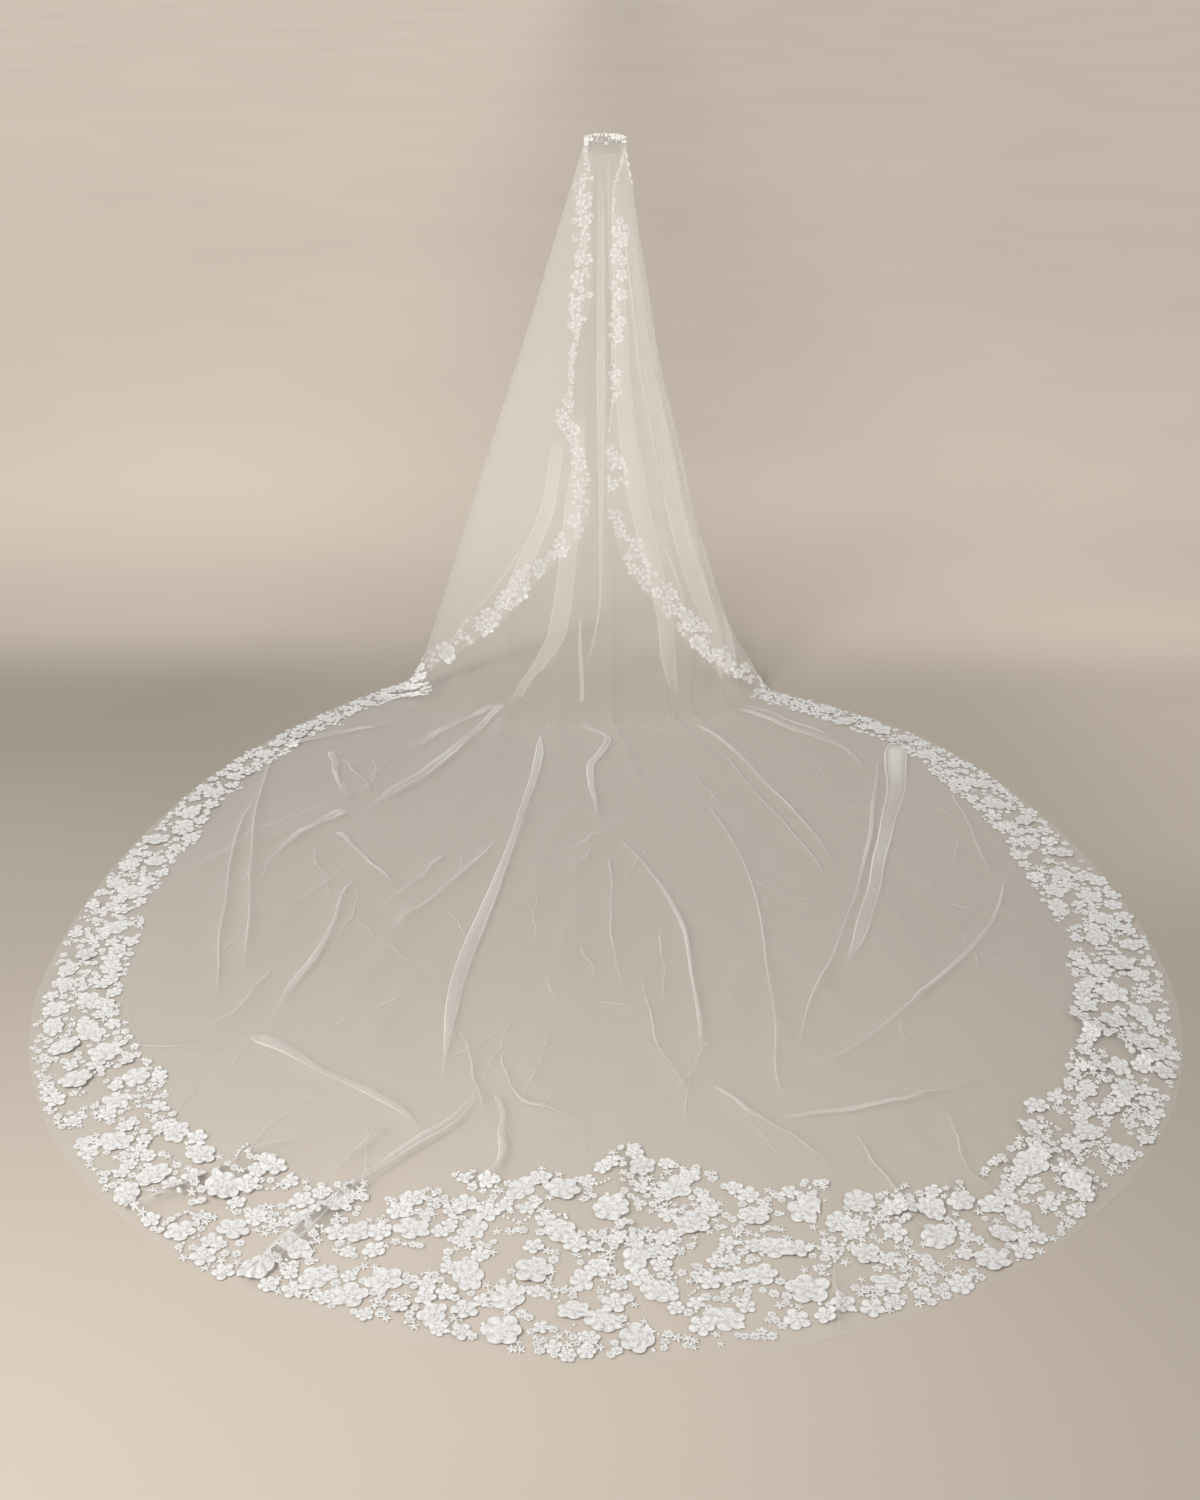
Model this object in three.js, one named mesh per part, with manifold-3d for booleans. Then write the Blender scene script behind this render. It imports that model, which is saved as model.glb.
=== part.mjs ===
// Long bridal veil of one tulle panel, gathered on a metal hair comb, with a
// flower lace border. It hangs from the comb and its train lies on the floor.
// Millimetres, +Z up. The origin is the middle of the comb's spine, the train
// runs towards -Y, and the free edges of the panel hang on the +Y side.

import * as THREE from 'three';
import { mergeVertices } from 'three/addons/utils/BufferGeometryUtils.js';
import Module from 'manifold-3d';

const wasm = await Module();
wasm.setup();

// Driving dimensions
const DROP = 1720;
const FLOOR = -DROP;
const WALL = 1.2;
const GAP = 0.3;
const LACE = 1.8;
const RELIEF = 2.4;
const DEGREE = Math.PI / 180;

// The comb under the gathers
const COMB = {
  length: 90,
  thick: 2.6,
  height: 5,
  bow: 58,
  bowDepth: 8,
  teeth: 16,
  toothLength: 34,
  toothWidth: 2,
  toothTip: 1,
  toothLean: 5,
  steps: 10,
};

// The short lace strip over the comb
const STRIP = {
  length: 124,
  height: 17,
  thick: 2,
  rise: 5,
  scallops: 9,
  depth: 3,
  holes: 6,
  hole: 3.4,
  front: -8.1,
};

// Plan of the train: two half ellipses that meet at its widest line
const TRAIN = { halfWidth: 1375, widestY: -1600, nearReach: 1290, farReachLeft: 1880, farReachRight: 1800 };
const CORNER = 100 * DEGREE;
const FLOOR_EDGE = 146.5 * DEGREE;
const EDGE_BLEND = 0.3;

// Level sections of the hanging part, from the comb down to the floor.
// height: above the floor. left, right: widest points of the loop.
// near, far: depth of the loop on either side of its widest line.
// freeLeft, freeRight: where the two free edges are. middle: its widest line.
// band: distance from a free edge to the inner border of its lace.
const SECTIONS = [
  { height: 1720, left: -58, right: 58, near: 8, far: 4, freeLeft: -57, freeRight: 57, middle: 5.6, band: 14 },
  { height: 1690, left: -66, right: 63, near: 14, far: 12, freeLeft: -50, freeRight: 50, middle: 4, band: 24 },
  { height: 1650, left: -80, right: 70, near: 22, far: 22, freeLeft: -40, freeRight: 38, middle: 2, band: 36 },
  { height: 1580, left: -103, right: 82, near: 32, far: 36, freeLeft: -38, freeRight: 22, middle: 0, band: 46 },
  { height: 1480, left: -135, right: 97, near: 42, far: 52, freeLeft: -38, freeRight: 19, middle: 0, band: 52 },
  { height: 1270, left: -202, right: 134, near: 60, far: 78, freeLeft: -40, freeRight: 19, middle: 0, band: 56 },
  { height: 1100, left: -258, right: 162, near: 72, far: 95, freeLeft: -85, freeRight: 19, middle: 0, band: 56 },
  { height: 940, left: -312, right: 200, near: 84, far: 106, freeLeft: -98, freeRight: 20, middle: 0, band: 56 },
  { height: 780, left: -366, right: 240, near: 96, far: 116, freeLeft: -62, freeRight: 6, middle: 0, band: 58 },
  { height: 620, left: -418, right: 275, near: 108, far: 124, freeLeft: -42, freeRight: 8, middle: 0, band: 60 },
  { height: 480, left: -464, right: 318, near: 118, far: 130, freeLeft: -72, freeRight: 35, middle: 0, band: 68 },
  { height: 370, left: -500, right: 352, near: 126, far: 132, freeLeft: -185, freeRight: 80, middle: 0, band: 84 },
  { height: 280, left: -530, right: 382, near: 132, far: 128, freeLeft: -262, freeRight: 146, middle: 0, band: 98 },
  { height: 190, left: -562, right: 425, near: 140, far: 116, freeLeft: -350, freeRight: 222, middle: 0, band: 112 },
  { height: 110, left: -592, right: 470, near: 150, far: 92, freeLeft: -480, freeRight: 300, middle: 0, band: 122 },
  { height: 50, left: -630, right: 505, near: 168, far: 60, freeLeft: -600, freeRight: 380, middle: 0, band: 124 },
  { height: 18, left: -672, right: 528, near: 196, far: 40, freeLeft: -668, freeRight: 480, middle: 0, band: 114 },
  { height: 0, left: -735, right: 545, near: 250, far: 30, freeLeft: -730, freeRight: 525, middle: 0, band: 98 },
];

// Share of each half of the panel that makes the near side of the loop
const NEAR_SHARE = 0.7;
const FLARE_HEIGHT = 300;
const FLARE_ANGLE = 60 * DEGREE;

// Long pleats of the hanging part. top, floor: place across the panel, from
// -1 at the left free edge to 1 at the right one. width: half width in the
// same measure. atComb, atKnee, atFloor: how far the pleat stands proud.
const PLEATS = [
  { top: -0.9, floor: -0.88, width: 0.07, atComb: 2, atKnee: 10, atFloor: 0 },
  { top: -0.62, floor: -0.66, width: 0.07, atComb: 2, atKnee: 16, atFloor: 8 },
  { top: -0.4, floor: -0.48, width: 0.06, atComb: 2, atKnee: 16, atFloor: 10 },
  { top: -0.2, floor: -0.32, width: 0.06, atComb: 3, atKnee: 18, atFloor: 14 },
  { top: -0.07, floor: -0.2, width: 0.05, atComb: 2, atKnee: 16, atFloor: 18 },
  { top: 0.0, floor: 0.01, width: 0.045, atComb: 3, atKnee: 20, atFloor: 16 },
  { top: 0.1, floor: 0.22, width: 0.05, atComb: 2, atKnee: 18, atFloor: 18 },
  { top: 0.24, floor: 0.4, width: 0.05, atComb: 3, atKnee: 18, atFloor: 16 },
  { top: 0.4, floor: 0.54, width: 0.06, atComb: 2, atKnee: 16, atFloor: 12 },
  { top: 0.6, floor: 0.7, width: 0.07, atComb: 2, atKnee: 16, atFloor: 8 },
  { top: 0.88, floor: 0.88, width: 0.07, atComb: 2, atKnee: 10, atFloor: 0 },
];
const KNEE_HEIGHT = 700;

// Folds of the train, each along a route of plan points (x, y).
// width: half width of the fold. height: how far it stands up.
const FOLDS = [
  { width: 70, height: 26, route: [[-310, -60], [-410, -340], [-600, -690], [-700, -850]] },
  { width: 75, height: 34, route: [[-190, -250], [-225, -760], [-330, -1450], [-365, -2120]] },
  { width: 70, height: 22, route: [[-1010, -430], [-1010, -800], [-960, -1250], [-900, -1700]] },
  { width: 65, height: 16, route: [[-840, -420], [-720, -830], [-560, -1260]] },
  { width: 65, height: 14, route: [[-290, -980], [-430, -1260], [-600, -1560]] },
  { width: 65, height: 16, route: [[-650, -1190], [-720, -1530], [-790, -1880]] },
  { width: 70, height: 20, route: [[-880, -1880], [-620, -2050], [-370, -2290]] },
  { width: 85, height: 44, route: [[-290, -2110], [-450, -2340], [-600, -2540], [-760, -2720]] },
  { width: 70, height: 20, route: [[-640, -2270], [-830, -2420], [-1010, -2500]] },
  { width: 70, height: 22, route: [[10, -180], [-40, -620], [0, -1000]] },
  { width: 75, height: 24, route: [[0, -960], [160, -1330], [215, -1750], [210, -2080]] },
  { width: 65, height: 14, route: [[10, -1050], [25, -1550], [60, -1850], [200, -2170]] },
  { width: 70, height: 18, route: [[270, -700], [380, -1180], [390, -1800], [400, -2180]] },
  { width: 70, height: 20, route: [[210, -2080], [340, -2210], [500, -2390]] },
  { width: 65, height: 16, route: [[340, -2200], [620, -2160], [870, -2050]] },
  { width: 70, height: 22, route: [[230, -120], [380, -440], [620, -1250]] },
  { width: 70, height: 22, route: [[300, -20], [500, -220], [780, -560]] },
  { width: 85, height: 38, route: [[880, -380], [800, -820], [640, -1450], [430, -2020]] },
  { width: 75, height: 20, route: [[1090, -1150], [960, -1460], [700, -1800], [430, -2080]] },
  { width: 65, height: 14, route: [[1010, -680], [1040, -1230]] },
  { width: 65, height: 16, route: [[520, -2230], [650, -2580]] },
];

// Rows and columns of the panel's facets
const ROW_HEIGHTS = [
  1720, 1695, 1650, 1580, 1480, 1360, 1220, 1080, 940,
  800, 660, 530, 410, 305, 215, 140, 80, 35, 0,
];
const TRAIN_ROWS = 18;
const INNER_COLUMNS = 34;
const EDGE_MARGIN = 0.25;

// Lace border of the train. angle: place on the plan's ellipse, 0 at the
// middle of the back. width: from the panel's edge to the lace's inner border.
const BORDER = [
  { angle: -143, width: 82 },
  { angle: -125, width: 100 },
  { angle: -108, width: 148 },
  { angle: -90, width: 190 },
  { angle: -72, width: 225 },
  { angle: -60, width: 262 },
  { angle: -48, width: 258 },
  { angle: -36, width: 315 },
  { angle: -26, width: 385 },
  { angle: -14, width: 470 },
  { angle: 3, width: 575 },
  { angle: 14, width: 475 },
  { angle: 26, width: 385 },
  { angle: 34, width: 255 },
  { angle: 48, width: 245 },
  { angle: 67, width: 245 },
  { angle: 86, width: 225 },
  { angle: 104, width: 196 },
  { angle: 118, width: 158 },
  { angle: 134, width: 113 },
  { angle: 141, width: 98 },
];
const BORDER_EDGE = 28;
const SCALLOP = { pitch: 115, depth: 24, clump: 340, clumpDepth: 30 };

// Pieces of the border. gaps: pierced openings. roses: raised flowers.
const BORDER_PIECES = [
  { name: 'lace_border_left', from: -143, to: -52, gaps: 8, roses: 6 },
  { name: 'lace_border_back', from: -51.4, to: 51.4, gaps: 16, roses: 10 },
  { name: 'lace_border_right', from: 52, to: 141, gaps: 8, roses: 6 },
];
const ROSE = { radius: 42, petals: 5 };
const PIERCED = { length: 46, width: 26, sides: 6 };

// Curve through a table: piecewise cubic with limited slopes, so that it
// never swings past its rows
function lookUp(table, place, value, at) {
  const rows = table[0][place] > table[table.length - 1][place] ? [...table].reverse() : table;
  const last = rows.length - 1;
  if (at <= rows[0][place]) return rows[0][value];
  if (at >= rows[last][place]) return rows[last][value];
  let i = 0;
  while (rows[i + 1][place] < at) i += 1;
  const secant = (k) => (rows[k + 1][value] - rows[k][value]) / (rows[k + 1][place] - rows[k][place]);
  const slope = (k) => {
    if (k === 0) return secant(0);
    if (k === last) return secant(last - 1);
    const before = secant(k - 1);
    const after = secant(k);
    return before * after <= 0 ? 0 : (2 * before * after) / (before + after);
  };
  const span = rows[i + 1][place] - rows[i][place];
  const u = (at - rows[i][place]) / span;
  const v = 1 - u;
  return (
    rows[i][value] * v * v * (1 + 2 * u) +
    rows[i + 1][value] * u * u * (3 - 2 * u) +
    span * u * v * (slope(i) * v - slope(i + 1) * u)
  );
}

const section = (value, height) => lookUp(SECTIONS, 'height', value, height);

function smoothStep(x) {
  const c = Math.min(1, Math.max(0, x));
  return c * c * (3 - 2 * c);
}

// Point of the loop at a height. across runs from -1 to 1 round the panel.
function hanging(across, height) {
  const side = across < 0 ? 'left' : 'right';
  const free = across < 0 ? 'freeLeft' : 'freeRight';
  const reach = section(side, height);
  const edgeAngle = Math.PI - Math.asin(Math.min(1, section(free, height) / reach));
  const sideAngle = Math.min(
    Math.PI / 2,
    FLARE_ANGLE + (Math.PI / 2 - FLARE_ANGLE) * smoothStep(height / FLARE_HEIGHT),
  );
  const share = Math.abs(across);
  const angle =
    share < NEAR_SHARE
      ? (share / NEAR_SHARE) * sideAngle
      : sideAngle + ((share - NEAR_SHARE) / (1 - NEAR_SHARE)) * (edgeAngle - sideAngle);
  const depth = angle < Math.PI / 2 ? section('near', height) : section('far', height);
  const y = section('middle', height) - depth * Math.cos(angle);
  return new THREE.Vector3(reach * Math.sin(angle), y, FLOOR + WALL / 2 + height);
}

// Plan outline of the train at an angle from the middle of its back
function outline(angle) {
  const farReach = angle < 0 ? TRAIN.farReachLeft : TRAIN.farReachRight;
  const reach = Math.abs(angle) < Math.PI / 2 ? TRAIN.nearReach : farReach;
  const x = TRAIN.halfWidth * Math.sin(angle);
  return new THREE.Vector3(x, TRAIN.widestY - reach * Math.cos(angle), FLOOR + WALL / 2);
}

// Side of the train, from where a free edge meets the floor to its corner
function trainSide(sign, out) {
  const start = hanging(sign, 0);
  const drawn = outline(sign * FLOOR_EDGE);
  const pull = Math.max(0, 1 - out / EDGE_BLEND) ** 2;
  const angle = FLOOR_EDGE + (CORNER - FLOOR_EDGE) * out;
  return outline(sign * angle).addScaledVector(start.sub(drawn), pull);
}

// Point of the train: a patch between its four border curves
function lying(across, out) {
  const v = (1 + across) / 2;
  const inner = hanging(across, 0);
  const outer = outline(across * CORNER);
  const left = trainSide(-1, out);
  const right = trainSide(1, out);
  const point = new THREE.Vector3();
  point.addScaledVector(inner, 1 - out).addScaledVector(outer, out);
  point.addScaledVector(left, 1 - v).addScaledVector(right, v);
  point.addScaledVector(hanging(-1, 0), -(1 - out) * (1 - v));
  point.addScaledVector(hanging(1, 0), -(1 - out) * v);
  point.addScaledVector(outline(-CORNER), -out * (1 - v));
  point.addScaledVector(outline(CORNER), -out * v);
  return point;
}

// The smooth panel. down: 0 at the comb, 1 at the floor, 2 at the train's edge.
function panel(across, down) {
  return down < 1 ? hanging(across, DROP * (1 - down)) : lying(across, down - 1);
}

function pleatHeight(across, down) {
  const height = DROP * Math.max(0, 1 - down);
  const fade = 1 - smoothStep((down - 1) / 0.25);
  const lower = smoothStep((KNEE_HEIGHT - height) / KNEE_HEIGHT);
  const upper = smoothStep((height - KNEE_HEIGHT) / (DROP - KNEE_HEIGHT));
  let total = 0;
  for (const pleat of PLEATS) {
    const centre = pleat.floor + (pleat.top - pleat.floor) * (height / DROP);
    const away = (across - centre) / pleat.width;
    if (Math.abs(away) >= 1) continue;
    const proud =
      height > KNEE_HEIGHT
        ? pleat.atKnee + (pleat.atComb - pleat.atKnee) * upper
        : pleat.atKnee + (pleat.atFloor - pleat.atKnee) * lower;
    total += proud * fade * (1 - away * away) ** 2;
  }
  return total;
}

// Distance from a plan point to a route, and how far along it that is
function alongRoute(point, route) {
  let best = { away: Infinity, share: 0 };
  const pieces = route.length - 1;
  for (let i = 0; i < pieces; i += 1) {
    const [ax, ay] = route[i];
    const [bx, by] = route[i + 1];
    const length2 = (bx - ax) ** 2 + (by - ay) ** 2;
    const t = ((point.x - ax) * (bx - ax) + (point.y - ay) * (by - ay)) / length2;
    const u = Math.min(1, Math.max(0, t));
    const away = Math.hypot(point.x - ax - u * (bx - ax), point.y - ay - u * (by - ay));
    if (away < best.away) best = { away, share: (i + u) / pieces };
  }
  return best;
}

function foldHeight(point) {
  let top = 0;
  for (const fold of FOLDS) {
    const { away, share } = alongRoute(point, fold.route);
    if (away >= fold.width) continue;
    const ends = smoothStep(share / 0.2) * smoothStep((1 - share) / 0.2);
    const rise = fold.height * (0.35 + 0.65 * ends) * (1 - (away / fold.width) ** 2) ** 2;
    top = Math.max(top, rise);
  }
  return top;
}

// The panel with its pleats and folds
function drapedPanel(across, down) {
  const point = panel(across, down);
  const step = 1e-3;
  const before = Math.max(-1, across - step);
  const after = Math.min(1, across + step);
  const above = Math.max(0, down - step);
  const below = Math.min(2, down + step);
  const sideways = panel(after, down).sub(panel(before, down));
  const downwards = panel(across, below).sub(panel(across, above));
  const normal = downwards.cross(sideways).normalize();
  const onFloor = smoothStep((down - 1) / 0.08);
  const rise = Math.max(pleatHeight(across, down), onFloor * foldHeight(point));
  return point.addScaledVector(normal, rise);
}

// Place across the panel that lies a given distance in from a free edge
function inward(sign, down, distance) {
  const step = 0.01;
  let across = sign;
  let walked = 0;
  let last = panel(across, down);
  while (walked < distance && Math.abs(across) > 0.4) {
    across -= sign * step;
    const next = panel(across, down);
    walked += next.distanceTo(last);
    last = next;
  }
  return across;
}

// Places of the facet columns on one row: two columns follow the lace of each
// free edge, and the others share the rest of the panel evenly
function columns(down) {
  const height = DROP * Math.max(0, 1 - down);
  const band = section('band', height);
  const even = 2 / (INNER_COLUMNS + 2);
  const toEven = smoothStep((down - 1) / 0.3);
  const inner = [-1, 1].map((sign) => {
    const followed = inward(sign, down, band);
    return followed + toEven * (sign * (1 - 2 * even) - followed);
  });
  const margin = inner.map((place, i) => {
    const edge = i === 0 ? -1 : 1;
    return edge + (place - edge) * (EDGE_MARGIN + toEven * (0.5 - EDGE_MARGIN));
  });
  const places = [-1, margin[0]];
  for (let i = 0; i <= INNER_COLUMNS; i += 1) {
    places.push(inner[0] + ((inner[1] - inner[0]) * i) / INNER_COLUMNS);
  }
  places.push(margin[1], 1);
  return places;
}

const rows = [
  ...ROW_HEIGHTS.map((height) => 1 - height / DROP),
  ...Array.from({ length: TRAIN_ROWS }, (_, i) => 1 + (i + 1) / TRAIN_ROWS),
];
const grid = rows.map((down) => columns(down).map((across) => drapedPanel(across, down)));

// Direction out of the cloth at each point of the grid
const gridNormals = grid.map((line, r) =>
  line.map((_, c) => {
    const sideways = line[Math.min(line.length - 1, c + 1)].clone().sub(line[Math.max(0, c - 1)]);
    const lower = grid[Math.min(grid.length - 1, r + 1)][c];
    const upper = grid[Math.max(0, r - 1)][c];
    return lower.clone().sub(upper).cross(sideways).normalize();
  }),
);

// Closed shell over part of the grid, between two distances from its surface
function shell(rowFrom, rowTo, columnFrom, columnTo, low, high) {
  const wide = columnTo - columnFrom + 1;
  const tall = rowTo - rowFrom + 1;
  const positions = [];
  for (const offset of [low, high]) {
    for (let r = rowFrom; r <= rowTo; r += 1) {
      for (let c = columnFrom; c <= columnTo; c += 1) {
        const point = grid[r][c].clone().addScaledVector(gridNormals[r][c], offset);
        positions.push(point.x, point.y, point.z);
      }
    }
  }
  const index = [];
  const at = (layer, r, c) => layer * wide * tall + r * wide + c;
  const quad = (a, b, c, d) => index.push(a, b, c, a, c, d);
  for (let r = 0; r < tall - 1; r += 1) {
    for (let c = 0; c < wide - 1; c += 1) {
      quad(at(1, r, c), at(1, r + 1, c), at(1, r + 1, c + 1), at(1, r, c + 1));
      const [a, b, d, e] = [at(0, r, c), at(0, r + 1, c), at(0, r + 1, c + 1), at(0, r, c + 1)];
      index.push(a, d, b, a, e, d);
    }
  }
  for (let c = 0; c < wide - 1; c += 1) {
    quad(at(0, 0, c), at(1, 0, c), at(1, 0, c + 1), at(0, 0, c + 1));
    quad(at(0, tall - 1, c + 1), at(1, tall - 1, c + 1), at(1, tall - 1, c), at(0, tall - 1, c));
  }
  for (let r = 0; r < tall - 1; r += 1) {
    quad(at(0, r + 1, 0), at(1, r + 1, 0), at(1, r, 0), at(0, r, 0));
    quad(at(0, r, wide - 1), at(1, r, wide - 1), at(1, r + 1, wide - 1), at(0, r + 1, wide - 1));
  }
  const geometry = new THREE.BufferGeometry();
  geometry.setAttribute('position', new THREE.Float32BufferAttribute(positions, 3));
  geometry.setIndex(index);
  return geometry;
}

function toSolid(geometry) {
  const bare = geometry.clone();
  bare.deleteAttribute('normal');
  bare.deleteAttribute('uv');
  const merged = mergeVertices(bare, 1e-4);
  return new wasm.Manifold(
    new wasm.Mesh({
      numProp: 3,
      vertProperties: new Float32Array(merged.attributes.position.array),
      triVerts: new Uint32Array(merged.index.array),
    }),
  );
}

function toGeometry(solid) {
  const mesh = solid.getMesh();
  const geometry = new THREE.BufferGeometry();
  geometry.setAttribute('position', new THREE.BufferAttribute(mesh.vertProperties, 3));
  geometry.setIndex(new THREE.BufferAttribute(mesh.triVerts, 1));
  geometry.computeVertexNormals();
  return geometry;
}

// Point of the train's plan, in from its outline
function bandPoint(angleDegrees, inset) {
  const angle = angleDegrees * DEGREE;
  const step = 1e-3;
  const point = outline(angle);
  const tangent = outline(angle + step).sub(outline(angle - step)).normalize();
  return new THREE.Vector2(point.x - tangent.y * inset, point.y + tangent.x * inset);
}

const borderWidth = (angle) => lookUp(BORDER, 'angle', 'width', angle);

// Scalloped line of the lace along the plan: lobes of one pitch, each with a
// flat top, on slow swells
function scalloped(from, to, inset, outward) {
  const points = [];
  const lengths = [];
  const fine = 400;
  let walked = 0;
  for (let i = 0; i <= fine; i += 1) {
    const angle = from + ((to - from) * i) / fine;
    if (i > 0) {
      walked += bandPoint(angle, inset(angle)).distanceTo(bandPoint(lengths[i - 1].angle, inset(angle)));
    }
    lengths.push({ angle, walked });
  }
  const lobes = Math.max(3, Math.round(walked / SCALLOP.pitch));
  const steps = lobes * 3;
  for (let i = 0; i <= steps; i += 1) {
    const angle = lookUp(lengths, 'walked', 'angle', (walked * i) / steps);
    const valley = i % 3 === 0 ? 0 : SCALLOP.depth;
    const swell = SCALLOP.clumpDepth * Math.sin(((walked * i) / steps / SCALLOP.clump) * 2 * Math.PI);
    points.push(bandPoint(angle, inset(angle) + (outward ? -valley : valley + swell)));
  }
  return points;
}

function polygon(centre, radii, turn) {
  return radii.map((radius, i) => {
    const angle = turn + (i / radii.length) * 2 * Math.PI;
    return new THREE.Vector2(centre.x + radius.x * Math.cos(angle), centre.y + radius.y * Math.sin(angle));
  });
}

// Rounded opening with its length along a direction
function piercedGap(centre, turn) {
  const points = [];
  for (let i = 0; i < PIERCED.sides; i += 1) {
    const angle = (i / PIERCED.sides) * 2 * Math.PI;
    const along = PIERCED.length * Math.cos(angle);
    const over = PIERCED.width * Math.sin(angle);
    points.push(
      new THREE.Vector2(
        centre.x + along * Math.cos(turn) - over * Math.sin(turn),
        centre.y + along * Math.sin(turn) + over * Math.cos(turn),
      ),
    );
  }
  return points;
}

// Flower outline: petals as a deep star with blunt points
function flowerOutline(centre, radius, turn) {
  const radii = [];
  for (let i = 0; i < ROSE.petals * 2; i += 1) {
    const reach = i % 2 === 0 ? radius * 0.7 : radius;
    radii.push(new THREE.Vector2(reach, reach));
  }
  return polygon(centre, radii, turn);
}

// Tall prism over a plan outline, to cut a piece out of a shell on the train
function prism(points, holes = []) {
  const shape = new THREE.Shape(points);
  for (const hole of holes) shape.holes.push(new THREE.Path(hole));
  const geometry = new THREE.ExtrudeGeometry(shape, { depth: 400, bevelEnabled: false });
  geometry.translate(0, 0, FLOOR - 100);
  return toSolid(geometry);
}

// Golden-ratio spacing gives an even but irregular choice between 0 and 1
const scatter = (i) => (0.5 + i * 0.618034) % 1;

function borderPiece(piece, cloth) {
  const outer = scalloped(piece.from, piece.to, () => BORDER_EDGE, true);
  const inner = scalloped(piece.from, piece.to, borderWidth, false).reverse();
  const holes = [];
  for (let i = 0; i < piece.gaps; i += 1) {
    const angle = piece.from + ((piece.to - piece.from) * (i + 0.5)) / piece.gaps;
    const room = borderWidth(angle) - BORDER_EDGE;
    const inset = BORDER_EDGE + room * (i % 2 === 0 ? 0.36 : 0.66);
    if (room > 4.5 * PIERCED.width) {
      holes.push(piercedGap(bandPoint(angle, inset), angle * DEGREE + (scatter(i) - 0.5)));
    }
  }
  let lace = prism([...outer, ...inner], holes).intersect(cloth.lace);
  for (let i = 0; i < piece.roses; i += 1) {
    const angle = piece.from + ((piece.to - piece.from) * (i + 0.5)) / piece.roses;
    const room = borderWidth(angle) - BORDER_EDGE;
    const inset = BORDER_EDGE + room * (i % 2 === 0 ? 0.68 : 0.34);
    const radius = Math.min(ROSE.radius, room * 0.42);
    const centre = bandPoint(angle, inset);
    const petals = prism(flowerOutline(centre, radius, scatter(i) * Math.PI));
    lace = lace.add(petals.intersect(cloth.relief));
  }
  return toGeometry(lace);
}

// Spine of the comb, bowed like the gathers in front of it
function spineY(x) {
  return COMB.bowDepth * (1 - Math.sqrt(1 - (x / COMB.bow) ** 2));
}

function buildComb() {
  const front = [];
  const back = [];
  for (let i = 0; i <= COMB.steps; i += 1) {
    const x = -COMB.length / 2 + (COMB.length * i) / COMB.steps;
    front.push(new THREE.Vector2(x, spineY(x) - COMB.thick / 2));
    back.push(new THREE.Vector2(x, spineY(x) + COMB.thick / 2));
  }
  const plan = new THREE.Shape([...front, ...back.reverse()]);
  const spine = new THREE.ExtrudeGeometry(plan, { depth: COMB.height, bevelEnabled: false });
  spine.translate(0, 0, -COMB.height / 2);
  let comb = toSolid(spine);
  const pitch = (COMB.length - 4) / (COMB.teeth - 1);
  for (let i = 0; i < COMB.teeth; i += 1) {
    const x = -(COMB.length - 4) / 2 + pitch * i;
    comb = comb.add(toSolid(tooth(x)));
  }
  return toGeometry(comb);
}

// One tooth: a tapered bar that leans away from the veil
function tooth(x) {
  const half = COMB.toothWidth / 2;
  const bar = new THREE.BoxGeometry(COMB.toothWidth, COMB.toothWidth, COMB.toothLength);
  bar.translate(0, 0, -COMB.toothLength / 2);
  const position = bar.attributes.position;
  for (let i = 0; i < position.count; i += 1) {
    const low = position.getZ(i) < -COMB.toothLength / 2 ? 1 : 0;
    const thin = low ? COMB.toothTip / 2 / half : 1;
    position.setX(i, position.getX(i) * thin);
    position.setY(i, position.getY(i) * thin + low * COMB.toothLean);
  }
  bar.translate(x, spineY(x), 0);
  return bar;
}

// Scalloped strip of lace in front of the gathers, arched and pierced
function buildStrip() {
  const half = STRIP.length / 2;
  const arch = (x) => STRIP.rise * (1 - (x / half) ** 2);
  const top = [];
  const bottom = [];
  const steps = STRIP.scallops * 3;
  for (let i = 0; i <= steps; i += 1) {
    const x = -half + (STRIP.length * i) / steps;
    const lobe = i % 3 === 0 ? 0 : STRIP.depth;
    top.push(new THREE.Vector2(x, arch(x) + STRIP.height / 2 - STRIP.depth + lobe));
    bottom.push(new THREE.Vector2(x, arch(x) - STRIP.height / 2 + STRIP.depth - lobe));
  }
  const shape = new THREE.Shape([...bottom, ...top.reverse()]);
  for (let i = 0; i < STRIP.holes; i += 1) {
    const x = -half + (STRIP.length * (i + 0.5)) / STRIP.holes;
    const radii = Array.from({ length: 6 }, () => new THREE.Vector2(STRIP.hole, STRIP.hole * 0.8));
    shape.holes.push(new THREE.Path(polygon(new THREE.Vector2(x, arch(x)), radii, 0)));
  }
  const strip = new THREE.ExtrudeGeometry(shape, { depth: STRIP.thick, bevelEnabled: false });
  strip.rotateX(Math.PI / 2);
  const position = strip.attributes.position;
  for (let i = 0; i < position.count; i += 1) {
    const bow = spineY(Math.min(COMB.bow, Math.abs(position.getX(i))) * 0.9);
    position.setY(i, position.getY(i) + bow + STRIP.front);
  }
  strip.computeVertexNormals();
  return strip;
}

const ivory = new THREE.MeshStandardMaterial({
  color: 0xf1ece3,
  roughness: 0.7,
  metalness: 0,
  transparent: true,
  opacity: 0.45,
  side: THREE.DoubleSide,
});
const laceWhite = new THREE.MeshStandardMaterial({ color: 0xf8f5ee, roughness: 0.85, metalness: 0 });
const steel = new THREE.MeshStandardMaterial({ color: 0x8f9092, roughness: 0.35, metalness: 1 });

const veil = new THREE.Group();

function place(name, geometry, material) {
  const mesh = new THREE.Mesh(geometry, material);
  mesh.name = name;
  veil.add(mesh);
}

const lastRow = grid.length - 1;
const lastColumn = grid[0].length - 1;
const floorRow = ROW_HEIGHTS.length - 1;

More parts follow.
